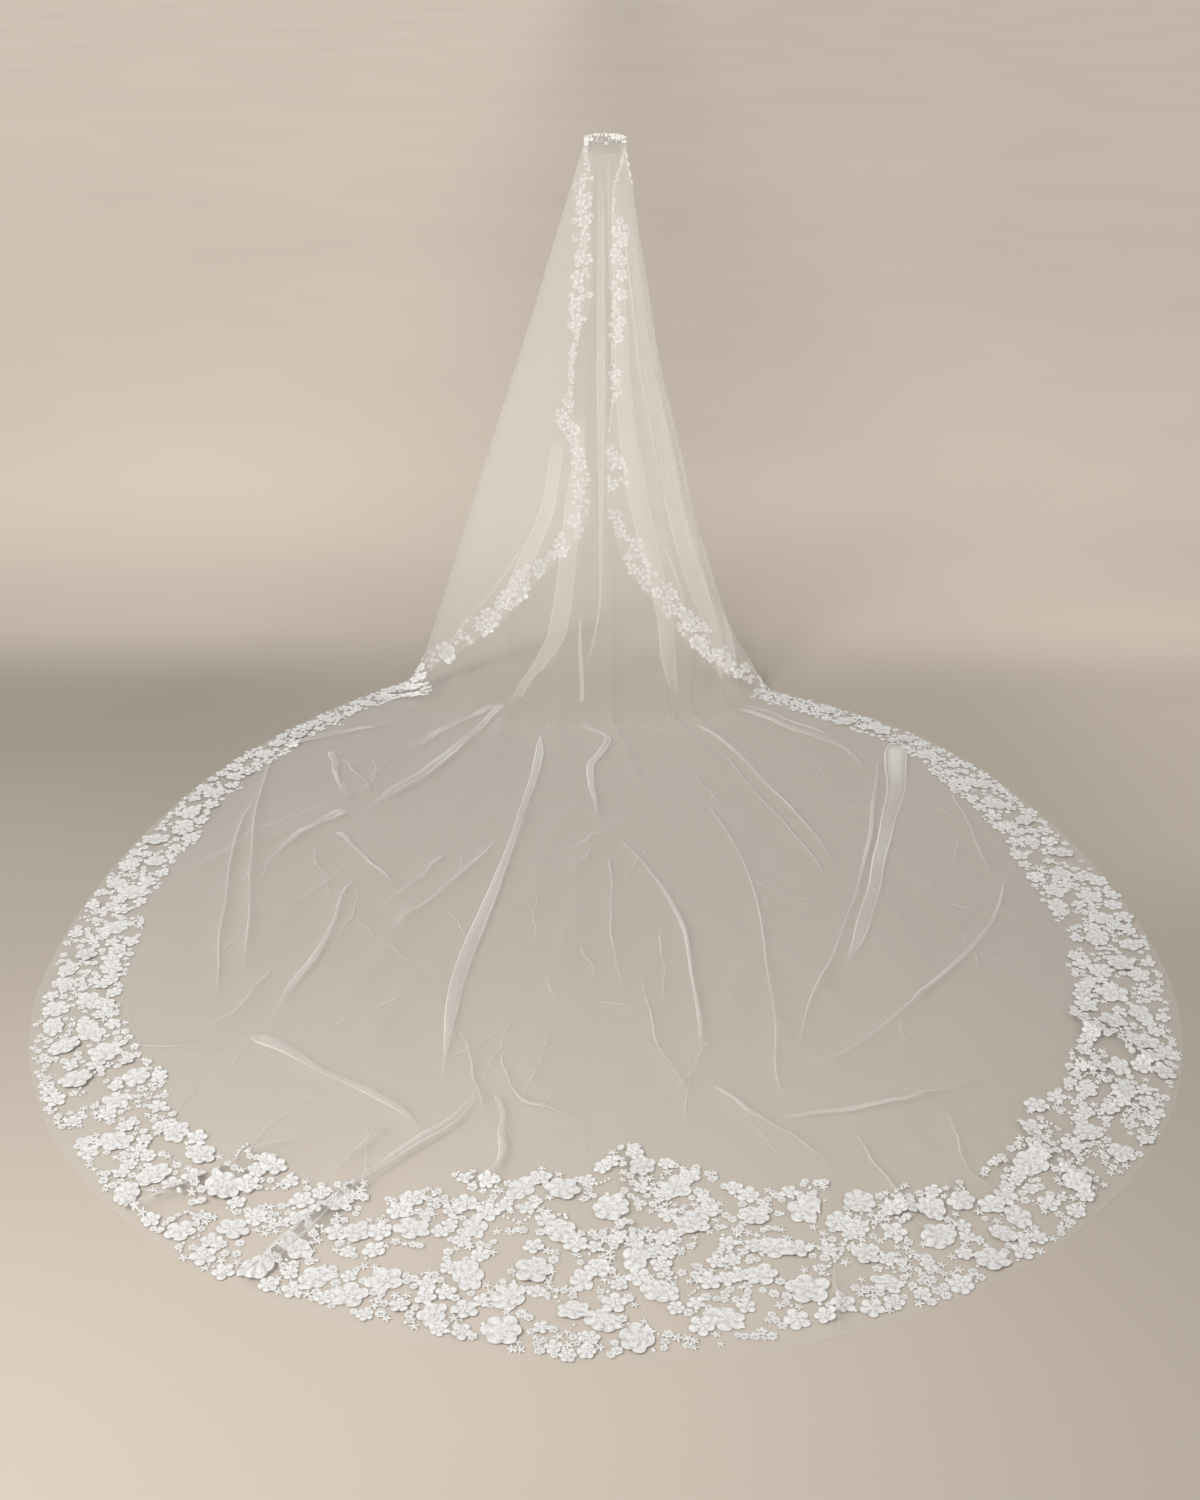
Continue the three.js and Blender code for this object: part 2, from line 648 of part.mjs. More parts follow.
place('tulle_panel', shell(0, lastRow, 0, lastColumn, -WALL / 2, WALL / 2), ivory);
place('comb', buildComb(), steel);
place('headpiece_lace', buildStrip(), laceWhite);

const laceLow = WALL / 2 + GAP;
const edgeRows = [1, floorRow - 1];
place('lace_edging_left', shell(...edgeRows, 1, 2, laceLow, laceLow + LACE), laceWhite);
place(
  'lace_edging_right',
  shell(...edgeRows, lastColumn - 2, lastColumn - 1, laceLow, laceLow + LACE),
  laceWhite,
);

const cloth = {
  lace: toSolid(shell(floorRow, lastRow, 0, lastColumn, laceLow, laceLow + LACE)),
  relief: toSolid(shell(floorRow, lastRow, 0, lastColumn, laceLow + LACE / 2, laceLow + LACE + RELIEF)),
};
for (const piece of BORDER_PIECES) {
  place(piece.name, borderPiece(piece, cloth), laceWhite);
}

export default veil;
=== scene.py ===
# A long tulle bridal veil on a hair comb, with a flower lace border.
# Metres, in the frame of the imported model: the origin is the comb's spine, the train runs
# towards -Y on the floor below it, and the free edges of the panel hang on the +Y side.
import math
import bpy
import numpy as np
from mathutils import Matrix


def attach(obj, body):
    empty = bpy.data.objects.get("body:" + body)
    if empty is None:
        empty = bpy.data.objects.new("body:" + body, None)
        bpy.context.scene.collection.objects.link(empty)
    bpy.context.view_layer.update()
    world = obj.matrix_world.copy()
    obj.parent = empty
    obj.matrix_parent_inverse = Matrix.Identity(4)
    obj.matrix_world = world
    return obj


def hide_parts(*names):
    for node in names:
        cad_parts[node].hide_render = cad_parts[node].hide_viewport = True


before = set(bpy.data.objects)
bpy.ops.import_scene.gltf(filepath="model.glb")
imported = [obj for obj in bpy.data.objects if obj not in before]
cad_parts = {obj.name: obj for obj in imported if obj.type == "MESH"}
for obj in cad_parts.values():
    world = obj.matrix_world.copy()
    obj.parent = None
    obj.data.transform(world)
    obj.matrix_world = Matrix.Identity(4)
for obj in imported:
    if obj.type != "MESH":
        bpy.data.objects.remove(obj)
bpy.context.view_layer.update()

# Sizes of the veil, the same as the model's
MM = 0.001
DROP = 1720 * MM
FLOOR = -DROP
WALL = 1.2 * MM
LYING = FLOOR + WALL / 2
LACE_LIFT = 1.2 * MM
DEGREE = math.pi / 180

# Level sections of the hanging part in mm, from the floor up to the comb: widest points of the
# loop, its depth on both sides, its free edges and its widest line
SECTION_COLUMNS = ("height", "left", "right", "near", "far", "free_left", "free_right", "middle")
SECTIONS = np.array([
    (0, -735, 545, 250, 30, -730, 525, 0),
    (18, -672, 528, 196, 40, -668, 480, 0),
    (50, -630, 505, 168, 60, -600, 380, 0),
    (110, -592, 470, 150, 92, -480, 300, 0),
    (190, -562, 425, 140, 116, -350, 222, 0),
    (280, -530, 382, 132, 128, -262, 146, 0),
    (370, -500, 352, 126, 132, -185, 80, 0),
    (480, -464, 318, 118, 130, -72, 35, 0),
    (620, -418, 275, 108, 124, -42, 8, 0),
    (780, -366, 240, 96, 116, -62, 6, 0),
    (940, -312, 200, 84, 106, -98, 20, 0),
    (1100, -258, 162, 72, 95, -85, 19, 0),
    (1270, -202, 134, 60, 78, -40, 19, 0),
    (1480, -135, 97, 42, 52, -38, 19, 0),
    (1580, -103, 82, 32, 36, -38, 22, 0),
    (1650, -80, 70, 22, 22, -40, 38, 2),
    (1690, -66, 63, 14, 12, -50, 50, 4),
    (1720, -58, 58, 8, 4, -57, 57, 5.6),
]).T * MM
NEAR_SHARE = 0.7
FLARE_HEIGHT = 300 * MM
FLARE_ANGLE = 60 * DEGREE

# Plan of the train
HALF_WIDTH = 1375 * MM
WIDEST_Y = -1600 * MM
NEAR_REACH = 1290 * MM
FAR_REACH_LEFT = 1880 * MM
FAR_REACH_RIGHT = 1800 * MM
CORNER = 100 * DEGREE
FLOOR_EDGE = 146.5 * DEGREE
EDGE_BLEND = 0.3

# Grid of the tulle's mesh
COLUMNS = 300
HANGING_ROWS = 90
TRAIN_ROWS = 170

# Main pleats: place across the panel at the comb and at the floor, half width in the same
# measure, and how far the pleat stands proud in mm at the comb, at knee height and at the floor
PLEATS = [
    (-0.9, -0.88, 0.05, 2, 5, 0),
    (-0.62, -0.66, 0.08, 1, 3, 6),
    (-0.34, -0.44, 0.07, 1, 4, 10),
    (-0.15, -0.3, 0.045, 2, 7, 14),
    (-0.05, -0.14, 0.04, 2, 5, 12),
    (0.02, 0.03, 0.03, 2, 5, 14),
    (0.12, 0.26, 0.04, 2, 7, 14),
    (0.26, 0.36, 0.04, 2, 7, 12),
    (0.42, 0.54, 0.05, 2, 8, 12),
    (0.56, 0.66, 0.05, 2, 8, 8),
    (0.88, 0.88, 0.05, 2, 5, 0),
]
KNEE_HEIGHT = 700 * MM
# Narrow pleats that the gathers send down the panel: their number, the first place across it and
# the way to the last one, half widths, and heights in mm at the comb, at knee height with the
# share of pleats that have each, and at the floor
FINE_PLEATS = {"count": 30, "first": -0.28, "way": 1.24, "width": (0.009, 0.02), "comb": (0.8, 1.6),
               "knee": ([0.5, 1.5, 3.0], [0.4, 0.35, 0.25]), "floor": [0, 1, 3]}
# Share of the train's length over which the pleats run out, and over which its folds start
PLEAT_END = 0.22
FOLD_START = 0.08

# Folds of the train in mm: how far they stand up at the start and the end of the route, how far
# their slopes reach on its left and on its right, the width of the doubled strip along the crest
# at the start and at the end, and the route's plan points
FOLDS = [
    (9, 22, 30, 16, 30, 34, [(-310, -60), (-410, -340), (-500, -540), (-600, -690), (-700, -850)]),
    (8, 10, 14, 22, 24, 16, [(-330, -100), (-470, -270), (-620, -480)]),
    (10, 16, 20, 14, 7, 8, [(-1010, -430), (-1000, -760), (-965, -1120), (-900, -1500), (-880, -1700)]),
    (8, 12, 12, 20, 8, 8, [(-1020, -690), (-1020, -1100), (-970, -1490), (-930, -1810)]),
    (10, 10, 18, 12, 22, 16, [(-1010, -430), (-820, -330), (-640, -260)]),
    (12, 8, 14, 20, 24, 12, [(-840, -430), (-790, -640), (-740, -790)]),
    (8, 12, 14, 16, 5, 5, [(-800, -500), (-720, -640), (-670, -760)]),
    (14, 8, 20, 14, 30, 10, [(-720, -820), (-830, -930), (-920, -1100)]),
    (12, 7, 16, 20, 22, 8, [(-770, -930), (-650, -1100), (-540, -1270)]),
    (10, 7, 16, 20, 8, 6, [(-430, -1060), (-540, -1280), (-600, -1350)]),
    (10, 7, 18, 18, 10, 6, [(-290, -970), (-410, -1230), (-530, -1420), (-590, -1560)]),
    (12, 9, 18, 16, 12, 20, [(-640, -1180), (-680, -1250), (-710, -1510), (-770, -1770), (-790, -1890)]),
    (8, 10, 16, 18, 5, 7, [(-820, -1620), (-870, -1790), (-940, -1890)]),
    (14, 14, 20, 14, 30, 14, [(-850, -1880), (-620, -2050), (-450, -2180), (-370, -2290)]),
    (6, 6, 16, 12, 5, 4, [(-1130, -1930), (-1000, -1950), (-860, -1950)]),
    (7, 14, 14, 18, 6, 8, [(-340, -1870), (-290, -2080), (-260, -2240)]),
    (7, 12, 14, 18, 8, 12, [(-240, -1950), (-200, -2130), (-100, -2180), (-50, -2240)]),
    (12, 22, 18, 14, 8, 10, [(-470, -2220), (-520, -2310), (-580, -2400)]),
    (14, 20, 16, 20, 20, 14, [(-240, -2100), (-220, -2330), (-290, -2430)]),
    (14, 28, 22, 12, 8, 14, [(-640, -2270), (-750, -2320), (-850, -2420), (-1010, -2510)]),
    (10, 12, 14, 14, 28, 12, [(-70, -200), (-50, -300), (10, -380), (-40, -560), (-40, -700), (0, -960)]),
    (12, 5, 14, 14, 8, 4, [(0, -940), (-60, -1010), (-120, -1080)]),
    (10, 18, 20, 14, 10, 16,
     [(10, -920), (120, -1170), (180, -1370), (210, -1640), (220, -1870), (210, -2060)]),
    (8, 5, 16, 16, 4, 4, [(10, -1040), (20, -1540), (50, -1790)]),
    (5, 10, 14, 16, 4, 8, [(80, -1620), (120, -1930), (200, -2170)]),
    (5, 5, 12, 12, 4, 4, [(140, -1450), (140, -1800)]),
    (7, 14, 18, 16, 6, 10,
     [(280, -710), (380, -1170), (400, -1490), (390, -1870), (380, -2060), (410, -2200)]),
    (16, 10, 16, 20, 14, 10, [(210, -2070), (330, -2200), (420, -2300), (510, -2400)]),
    (14, 7, 16, 14, 18, 6, [(340, -2200), (510, -2180), (640, -2150), (880, -2040)]),
    (10, 9, 16, 16, 16, 8, [(240, -200), (380, -430), (550, -870), (640, -1230)]),
    (9, 9, 14, 16, 6, 6, [(330, -390), (450, -750), (620, -1260)]),
    (14, 10, 14, 18, 30, 16, [(400, -130), (540, -260), (720, -420), (800, -620)]),
    (10, 9, 14, 18, 20, 10, [(440, -110), (600, -260), (760, -420)]),
    (10, 12, 16, 14, 14, 8, [(850, -420), (720, -1040), (600, -1480), (480, -1790), (420, -2010)]),
    (7, 12, 22, 14, 14, 10, [(1090, -1150), (970, -1450), (800, -1690), (620, -1890), (430, -2080)]),
    (6, 7, 16, 16, 9, 9, [(1010, -680), (1040, -1230)]),
    (10, 9, 16, 18, 8, 8, [(520, -2220), (580, -2410), (650, -2590)]),
    (9, 10, 14, 18, 8, 8, [(740, -2170), (750, -2360), (810, -2470)]),
    (10, 12, 10, 16, 10, 8, [(440, -2640), (435, -2740), (430, -2850)]),
    (9, 16, 18, 12, 22, 36,
     [(-200, -260), (-205, -500), (-230, -820), (-290, -1230), (-350, -1600), (-370, -2130)]),
    (9, 9, 12, 18, 64, 30, [(930, -330), (890, -430), (845, -720), (760, -1060), (650, -1450), (570, -1680)]),
    (14, 30, 24, 12, 22, 40,
     [(-280, -2080), (-340, -2220), (-450, -2340), (-560, -2470), (-660, -2640), (-740, -2730)]),
]

# Pleats of the hanging part that lie over, from top to bottom: height in mm, place across the
# panel, and width of the doubled strip in mm
LAID_PLEATS = [
    [(900, -0.19, 30), (692, -0.195, 38), (516, -0.24, 45), (398, -0.28, 30), (250, -0.33, 5)],
    [(560, -0.255, 3), (361, -0.367, 4), (189, -0.535, 4), (96, -0.749, 3)],
    [(1000, -0.1, 8), (801, -0.1, 34), (654, -0.108, 45), (463, -0.113, 49), (266, -0.126, 53),
     (153, -0.193, 40), (98, -0.256, 26), (20, -0.31, 24)],
    [(1690, -0.06, 8), (1440, -0.035, 14), (1051, -0.019, 19), (671, -0.012, 10), (383, -0.012, 5),
     (253, -0.026, 4), (136, -0.055, 4)],
    [(330, -0.064, 3), (185, -0.068, 8), (30, -0.075, 8)],
    [(1690, 0.05, 3), (1529, 0.05, 4), (1300, 0.055, 3)],
    [(1690, 0.17, 14), (1440, 0.15, 24), (1168, 0.146, 38), (1051, 0.144, 42), (724, 0.175, 57),
     (565, 0.211, 57), (402, 0.231, 42), (204, 0.24, 45), (113, 0.271, 32), (24, 0.309, 14)],
    [(600, 0.262, 3), (438, 0.325, 4), (312, 0.352, 3)],
    [(1650, 0.37, 20), (1440, 0.39, 40), (1072, 0.42, 62), (775, 0.436, 76), (572, 0.47, 83),
     (383, 0.468, 68), (259, 0.479, 45), (119, 0.543, 34), (20, 0.6, 24)],
    [(1100, 0.49, 10), (684, 0.492, 23), (370, 0.53, 23), (247, 0.581, 30), (88, 0.622, 23)],
]

# Seeded folds of the train between the drawn ones: how many, limits of x, y and length in m, how far
# their headings stray and fan out with x, and limits of their heights in mm
CREASES = {"count": 70, "x": (-1.0, 1.0), "y": (-2.3, -0.45), "length": (0.1, 0.34), "stray": 0.45,
           "fan": 0.5, "high": (1.5, 4)}
CREASE_BOW = 0.12
CREASE_FALL = 12
SWELLS = {"count": 26, "x": (-1.05, 1.05), "y": (-2.2, -0.6), "length": (0.25, 0.6), "stray": 0.35,
          "fan": 0.6, "high": (5, 12)}
SWELL_SHIFT = 0.03
SWELL_FALL = (20, 38)
WAVE_COUNT = 26
WAVE_LENGTH = (0.12, 0.7)

# Points along a fold's route, the step between those that the cloth's height is taken from, how
# far the route sways, and how many of the creases have doubled cloth
ROUTE_POINTS = 61
ROUTE_STEP = 4
FOLD_SWAY = 3.5 * MM
CREASE_LINES = 45
LAID_STEPS = 60

# Section of the doubled cloth along a fold, from its flat side to its steep side: place in half
# widths from the middle, how much further that way in mm, share of the fold's height, and share
# of the net's own cover, which is 0 where the width of the fold sets it
RIBBON = np.array([
    (-1, -7.0, 0.0, 0.0), (-1, -2.4, 0.6, 0.7), (-1, -0.8, 0.9, 2.8), (-1, 0.8, 0.95, 2.6),
    (-1, 2.6, 0.88, 1.0), (-0.4, 0.2, 0.8, 0), (0.4, -0.2, 0.82, 0), (1, -2.2, 0.95, 1.1),
    (1, -0.8, 1.0, 2.8), (1, 0.7, 0.93, 2.4), (1, 3.0, 0.55, 1.2), (1, 6.0, 0.2, 0.6), (1, 9.0, 0.0, 0.0),
]).T
# Cover of the doubled cloth between its two edges, by the fold's width in mm, and the most that
# it has on the hanging part
LYING_COVER = ([5, 12, 38, 56], [2.0, 1.45, 1.5, 2.7])
HANGING_COVER = ([5, 12], [2.0, 1.45])
MOST_COVER = 2.3

RANDOM = np.random.default_rng(41)


def smooth(x):
    c = np.clip(x, 0, 1)
    return c * c * (3 - 2 * c)


def taper(share, start, end):
    """Rises over the first share of a length and falls over the last one."""
    return smooth(share / start) * smooth((1 - share) / end)


def ripple(share, fewest, most):
    """A wave along a length, with a drawn number and phase."""
    return np.sin(share * RANDOM.uniform(fewest, most) + RANDOM.uniform(0, 6))


def towards(way, reach):
    """Offset of a length in a direction."""
    return reach * np.array([math.cos(way), math.sin(way)])


def walked_along(steps):
    """Running total of steps, from 0."""
    return np.concatenate([[0], np.cumsum(steps)])


def leftward(route):
    """Unit vectors to the left along a route of plan points."""
    step = np.gradient(route, axis=0)
    step /= np.linalg.norm(step, axis=1, keepdims=True)
    return np.stack([-step[:, 1], step[:, 0]], axis=1)


def look_up(places, values, at):
    """Piecewise cubic with limited slopes, so that it never swings past its rows."""
    secant = np.diff(values) / np.diff(places)
    product = secant[:-1] * secant[1:]
    total = secant[:-1] + secant[1:]
    inner = np.where(product > 0, 2 * product / np.where(total == 0, 1, total), 0)
    slope = np.concatenate([secant[:1], inner, secant[-1:]])
    i = np.clip(np.searchsorted(places, at, side="right") - 1, 0, len(places) - 2)
    span = places[i + 1] - places[i]
    u = np.clip((at - places[i]) / span, 0, 1)
    v = 1 - u
    ends = values[i] * v * v * (1 + 2 * u) + values[i + 1] * u * u * (3 - 2 * u)
    return ends + span * u * v * (slope[i] * v - slope[i + 1] * u)


def section(name, height):
    return look_up(SECTIONS[0], SECTIONS[SECTION_COLUMNS.index(name)], height)


def hanging(across, height):
    """Points of the loop at a height above the floor. across runs from -1 to 1."""
    left = across < 0
    reach = np.where(left, section("left", height), section("right", height))
    free = np.where(left, section("free_left", height), section("free_right", height))
    edge_angle = math.pi - np.arcsin(np.minimum(1, free / reach))
    side_angle = FLARE_ANGLE + (math.pi / 2 - FLARE_ANGLE) * smooth(height / FLARE_HEIGHT)
    share = np.abs(across)
    beyond = side_angle + (share - NEAR_SHARE) / (1 - NEAR_SHARE) * (edge_angle - side_angle)
    angle = np.where(share < NEAR_SHARE, share / NEAR_SHARE * side_angle, beyond)
    depth = np.where(angle < math.pi / 2, section("near", height), section("far", height))
    y = section("middle", height) - depth * np.cos(angle)
    return np.stack([reach * np.sin(angle), y, LYING + height + 0 * angle], axis=-1)


def outline(angle):
    """Plan outline of the train at an angle from the middle of its back."""
    far = np.where(angle < 0, FAR_REACH_LEFT, FAR_REACH_RIGHT)
    reach = np.where(np.abs(angle) < math.pi / 2, NEAR_REACH, far)
    x = HALF_WIDTH * np.sin(angle)
    return np.stack([x, WIDEST_Y - reach * np.cos(angle), LYING + 0 * x], axis=-1)


def train_side(sign, out):
    start = hanging(np.array(float(sign)), np.array(0.0))
    drawn = outline(np.array(sign * FLOOR_EDGE))
    pull = np.maximum(0, 1 - out / EDGE_BLEND) ** 2
    angle = sign * (FLOOR_EDGE + (CORNER - FLOOR_EDGE) * out)
    return outline(angle) + (start - drawn) * pull[..., None]


def lying(across, out):
    """Points of the train: a patch between its four border curves."""
    v = ((1 + across) / 2)[..., None]
    u = out[..., None]
    zero = 0 * across
    corners = (1 - u) * (1 - v) * hanging(zero - 1, zero) + (1 - u) * v * hanging(zero + 1, zero)
    corners += u * (1 - v) * outline(zero - CORNER) + u * v * outline(zero + CORNER)
    ends = (1 - u) * hanging(across, zero) + u * outline(across * CORNER)
    sides = (1 - v) * train_side(-1, out) + v * train_side(1, out)
    return ends + sides - corners


def panel(across, down):
    """The smooth panel. down is 0 at the comb, 1 at the floor and 2 at the train's edge."""
    above = hanging(across, DROP * np.clip(1 - down, 0, 1))
    below = lying(across, np.clip(down - 1, 0, 1))
    return np.where((down < 1)[..., None], above, below)


def panel_normal(across, down):
    step = 1e-3
    sideways = panel(np.minimum(1, across + step), down) - panel(np.maximum(-1, across - step), down)
    downwards = panel(across, np.minimum(2, down + step)) - panel(across, np.maximum(0, down - step))
    normal = np.cross(downwards, sideways)
    return normal / np.maximum(1e-12, np.linalg.norm(normal, axis=-1, keepdims=True))


def fine_pleats():
    """Rows of narrow pleats, in the columns of PLEATS."""
    rows = []
    for i in range(FINE_PLEATS["count"]):
        share = (i + RANDOM.uniform(0.2, 0.8)) / FINE_PLEATS["count"]
        top = FINE_PLEATS["first"] + FINE_PLEATS["way"] * share
        floor = top * RANDOM.uniform(1.0, 1.12)
        width = RANDOM.uniform(*FINE_PLEATS["width"])
        heights, odds = FINE_PLEATS["knee"]
        knee = RANDOM.choice(heights, p=odds)
        comb = RANDOM.uniform(*FINE_PLEATS["comb"])
        rows.append((top, floor, width, comb, knee, RANDOM.choice(FINE_PLEATS["floor"])))
    return rows


ALL_PLEATS = PLEATS + fine_pleats()


def pleat_rise(across, down):
    height = DROP * np.maximum(0, 1 - down)
    fade = 1 - smooth((down - 1) / PLEAT_END)
    upper = smooth((height - KNEE_HEIGHT) / (DROP - KNEE_HEIGHT))
    lower = smooth((KNEE_HEIGHT - height) / KNEE_HEIGHT)
    rise = np.zeros_like(across)
    for top, floor, width, at_comb, at_knee, at_floor in ALL_PLEATS:
        away = np.abs(across - floor - (top - floor) * height / DROP) / width
        proud = at_knee + (at_comb - at_knee) * upper + (at_floor - at_knee) * lower
        rise += proud * MM * np.maximum(0, 1 - away) ** 1.5
    return rise * fade


def curve_through(points, count):
    """Evenly spaced points of a smooth curve through plan points in mm."""
    p = np.array([points[0]] + list(points) + [points[-1]], float) * MM
    fine = []
    for a, b, c, d in zip(p, p[1:], p[2:], p[3:]):
        t = np.linspace(0, 1, 12, endpoint=False)[:, None]
        fine.append(0.5 * (2 * b + (c - a) * t + (2 * a - 5 * b + 4 * c - d) * t**2
                           + (3 * b - a - 3 * c + d) * t**3))
    fine = np.vstack(fine + [p[-1:]])
    walked = walked_along(np.linalg.norm(np.diff(fine, axis=0), axis=1))
    even = np.linspace(0, walked[-1], count)
    return np.stack([np.interp(even, walked, fine[:, k]) for k in (0, 1)], axis=1)


def along_route(points, route, reach):
    """For the points nearer than reach: their index, signed distance to the right of the route
    and share of its length."""
    low = route.min(axis=0) - reach
    high = route.max(axis=0) + reach
    near = np.flatnonzero(np.all((points > low) & (points < high), axis=1))
    p = points[near]
    best = np.full(len(near), np.inf)
    away = np.zeros(len(near))
    share = np.zeros(len(near))
    pieces = len(route) - 1
    for i in range(pieces):
        a = route[i]
        step = route[i + 1] - a
        t = np.clip((p - a) @ step / (step @ step), 0, 1)
        gap = p - a - t[:, None] * step
        distance = np.hypot(gap[:, 0], gap[:, 1])
        right = np.array([step[1], -step[0]])
        closer = distance < best
        best = np.where(closer, distance, best)
        away = np.where(closer, distance * np.sign(gap @ right), away)
        share = np.where(closer, (i + t) / pieces, share)
    return near, away, share


def waves():
    """Long low swells of the cloth on the floor: direction, phase and height of each."""
    rows = []
    for _ in range(WAVE_COUNT):
        length = RANDOM.uniform(*WAVE_LENGTH)
        turn = RANDOM.normal(0, 0.5)
        number = 2 * math.pi / length
        phase = RANDOM.uniform(0, 6.3)
        rows.append((number * math.cos(turn), number * math.sin(turn), phase, 0.5 * length**0.6))
    return rows


def seeded_line(kind):
    """Start, way to the end and length of a seeded fold, which runs roughly along the train."""
    start = np.array([RANDOM.uniform(*kind["x"]), RANDOM.uniform(*kind["y"])])
    length = RANDOM.uniform(*kind["length"])
    turn = RANDOM.normal(0, kind["stray"]) + kind["fan"] * start[0]
    return start, towards(turn - math.pi / 2, length), length


def small_creases():
    """Short soft creases, in the columns of FOLDS."""
    rows = []
    for _ in range(CREASES["count"]):
        start, way, length = seeded_line(CREASES)
        bow = RANDOM.normal(0, CREASE_BOW) * length * np.array([-way[1], way[0]])
        route = np.array([start, start + way / 2 + bow, start + way]) / MM
        heights = RANDOM.uniform(*CREASES["high"], 2)
        rows.append((*heights, CREASE_FALL, CREASE_FALL, 1, 1, route))
    return rows


def soft_swells():
    """Wide low folds with round crests, in the columns of FOLDS."""
    rows = []
    for _ in range(SWELLS["count"]):
        start, way, _ = seeded_line(SWELLS)
        aside = np.array([RANDOM.normal(0, SWELL_SHIFT), 0])
        route = np.array([start, start + way / 2 + aside, start + way]) / MM
        fall = RANDOM.uniform(*SWELL_FALL)
        heights = RANDOM.uniform(*SWELLS["high"], 2)
        rows.append((*heights, fall, fall * 0.7, 0, 0, route))
    return rows


def wandering(points):
    """Route of a fold, with small turns to both sides."""
    route = curve_through(points, ROUTE_POINTS)
    gone = np.linspace(0, 1, ROUTE_POINTS)
    sway = ripple(gone, 9, 14)
    sway += 0.5 * ripple(gone, 20, 34)
    return route + leftward(route) * (sway * FOLD_SWAY)[:, None]


WAVES = waves()
ALL_FOLDS = [(row, wandering(row[-1])) for row in FOLDS + small_creases() + soft_swells()]


def fold_field(points):
    """How far the folds of the train lift plan points of the smooth panel."""
    lift = np.zeros(len(points))
    for kx, ky, phase, height in WAVES:
        lift += height * MM * np.sin(kx * points[:, 0] + ky * points[:, 1] + phase)
    lift = np.maximum(0, lift)
    for (start, end, left, right, *_), route in ALL_FOLDS:
        near, away, share = along_route(points, route[::ROUTE_STEP], 4 * max(left, right) * MM)
        if len(near) == 0:
            continue
        fall = np.where(away < 0, left, right) * MM
        gap = np.abs(away) / fall
        profile = np.exp(-gap) * np.maximum(0, 1 - (gap / 4) ** 2) ** 2
        lift[near] += (start + (end - start) * share) * MM * taper(share, 0.18, 0.18) * profile
    return lift


def drape(across, down):
    """The panel with its pleats and folds."""
    base = panel(across, down)
    flat = base.reshape(-1, 3)
    on_floor = smooth((down - 1) / FOLD_START).ravel()
    lift = np.zeros(len(flat))
    lies = np.flatnonzero(on_floor > 0)
    lift[lies] = fold_field(flat[lies, :2]) * on_floor[lies]
    place = base + panel_normal(across, down) * pleat_rise(across, down)[..., None]
    place[..., 2] = np.maximum(place[..., 2], LYING) + lift.reshape(down.shape)
    return place


def new_mesh(name, points, faces):
    """Mesh of points and faces. A fourth column of the points is kept as how dense they are, which on the
    lace also holds painted shade.
    """
    mesh = bpy.data.meshes.new(name)
    mesh.from_pydata(points[:, :3].tolist(), [], faces.tolist())
    mesh.polygons.foreach_set("use_smooth", [True] * len(faces))
    if points.shape[1] == 4:
        dense = mesh.attributes.new("dense", "FLOAT", "POINT")
        dense.data.foreach_set("value", points[:, 3].astype(np.float32))
    mesh.update()
    obj = bpy.data.objects.new(name, mesh)
    bpy.context.scene.collection.objects.link(obj)
    return obj


def grid_faces(rows, columns, closed=False):
    """Faces between the points of a grid. closed joins its last column to its first."""
    i = np.arange(rows - 1)[:, None] * columns
    j = np.arange(columns if closed else columns - 1)[None, :]
    k = (j + 1) % columns
    return np.stack([i + j, i + columns + j, i + columns + k, i + k], axis=-1).reshape(-1, 4)


def build_tulle():
    across = np.linspace(-1, 1, COLUMNS)
    down = np.concatenate([
        np.linspace(0, 1, HANGING_ROWS, endpoint=False),
        np.linspace(1, 2, TRAIN_ROWS),
    ])
    a, d = np.meshgrid(across, down)
    points = np.insert(drape(a, d).reshape(-1, 3), 3, 1.0, axis=1)
    return new_mesh("tulle", points, grid_faces(*a.shape))


def ribbon_section(widths, fade, middles):
    """Offsets towards the steep side and upwards in mm, and the cover, at each step of a fold."""
    places, further, high, cover = RIBBON
    narrow = np.clip(widths / 6, 0.3, 1)[:, None]
    spread = np.interp(widths, [5, 25], [0.5, 0.9])[:, None]
    wide = widths[:, None] / 2 * places + further * spread * np.where(places * further < 0, narrow, 1)
    tall = np.interp(widths, [3, 10, 45], [3.5, 5, 8])[:, None]
    middle = np.interp(widths, *middles)[:, None]
    strength = np.interp(widths, [2, 7, 25], [0.5, 0.9, 1.3])[:, None]
    dense = np.where((cover == 0) & (np.abs(places) < 1), middle, cover * strength) * fade[:, None]
    return wide, high * tall * fade[:, None] + 0.4, dense.ravel()


def lying_strip(row, route):
    """The doubled cloth along a fold of the train."""
    share = np.linspace(0, 1, len(route))
    uneven = 1 + 0.2 * ripple(share, 5, 12)
    patchy = 0.85 + 0.25 * ripple(share, 6, 16)
    ends = 0.1 + 0.9 * taper(share, 0.12, 0.2)
    widths = (row[4] + (row[5] - row[4]) * share) * uneven * ends
    widths = np.maximum(1 + widths * 0.3, widths - 6)
    length = np.linalg.norm(route[1:] - route[:-1], axis=1).sum()
    fade = taper(share, min(0.14, 0.15 / length), min(0.35, 0.22 / length)) * patchy
    wide, high, dense = ribbon_section(widths, fade, LYING_COVER)
    plan = (route[:, None] + wide[..., None] * MM * leftward(route)[:, None]).reshape(-1, 2)
    z = LYING + fold_field(plan) + high.ravel() * MM
    return np.column_stack([plan, z, dense]), grid_faces(*wide.shape)


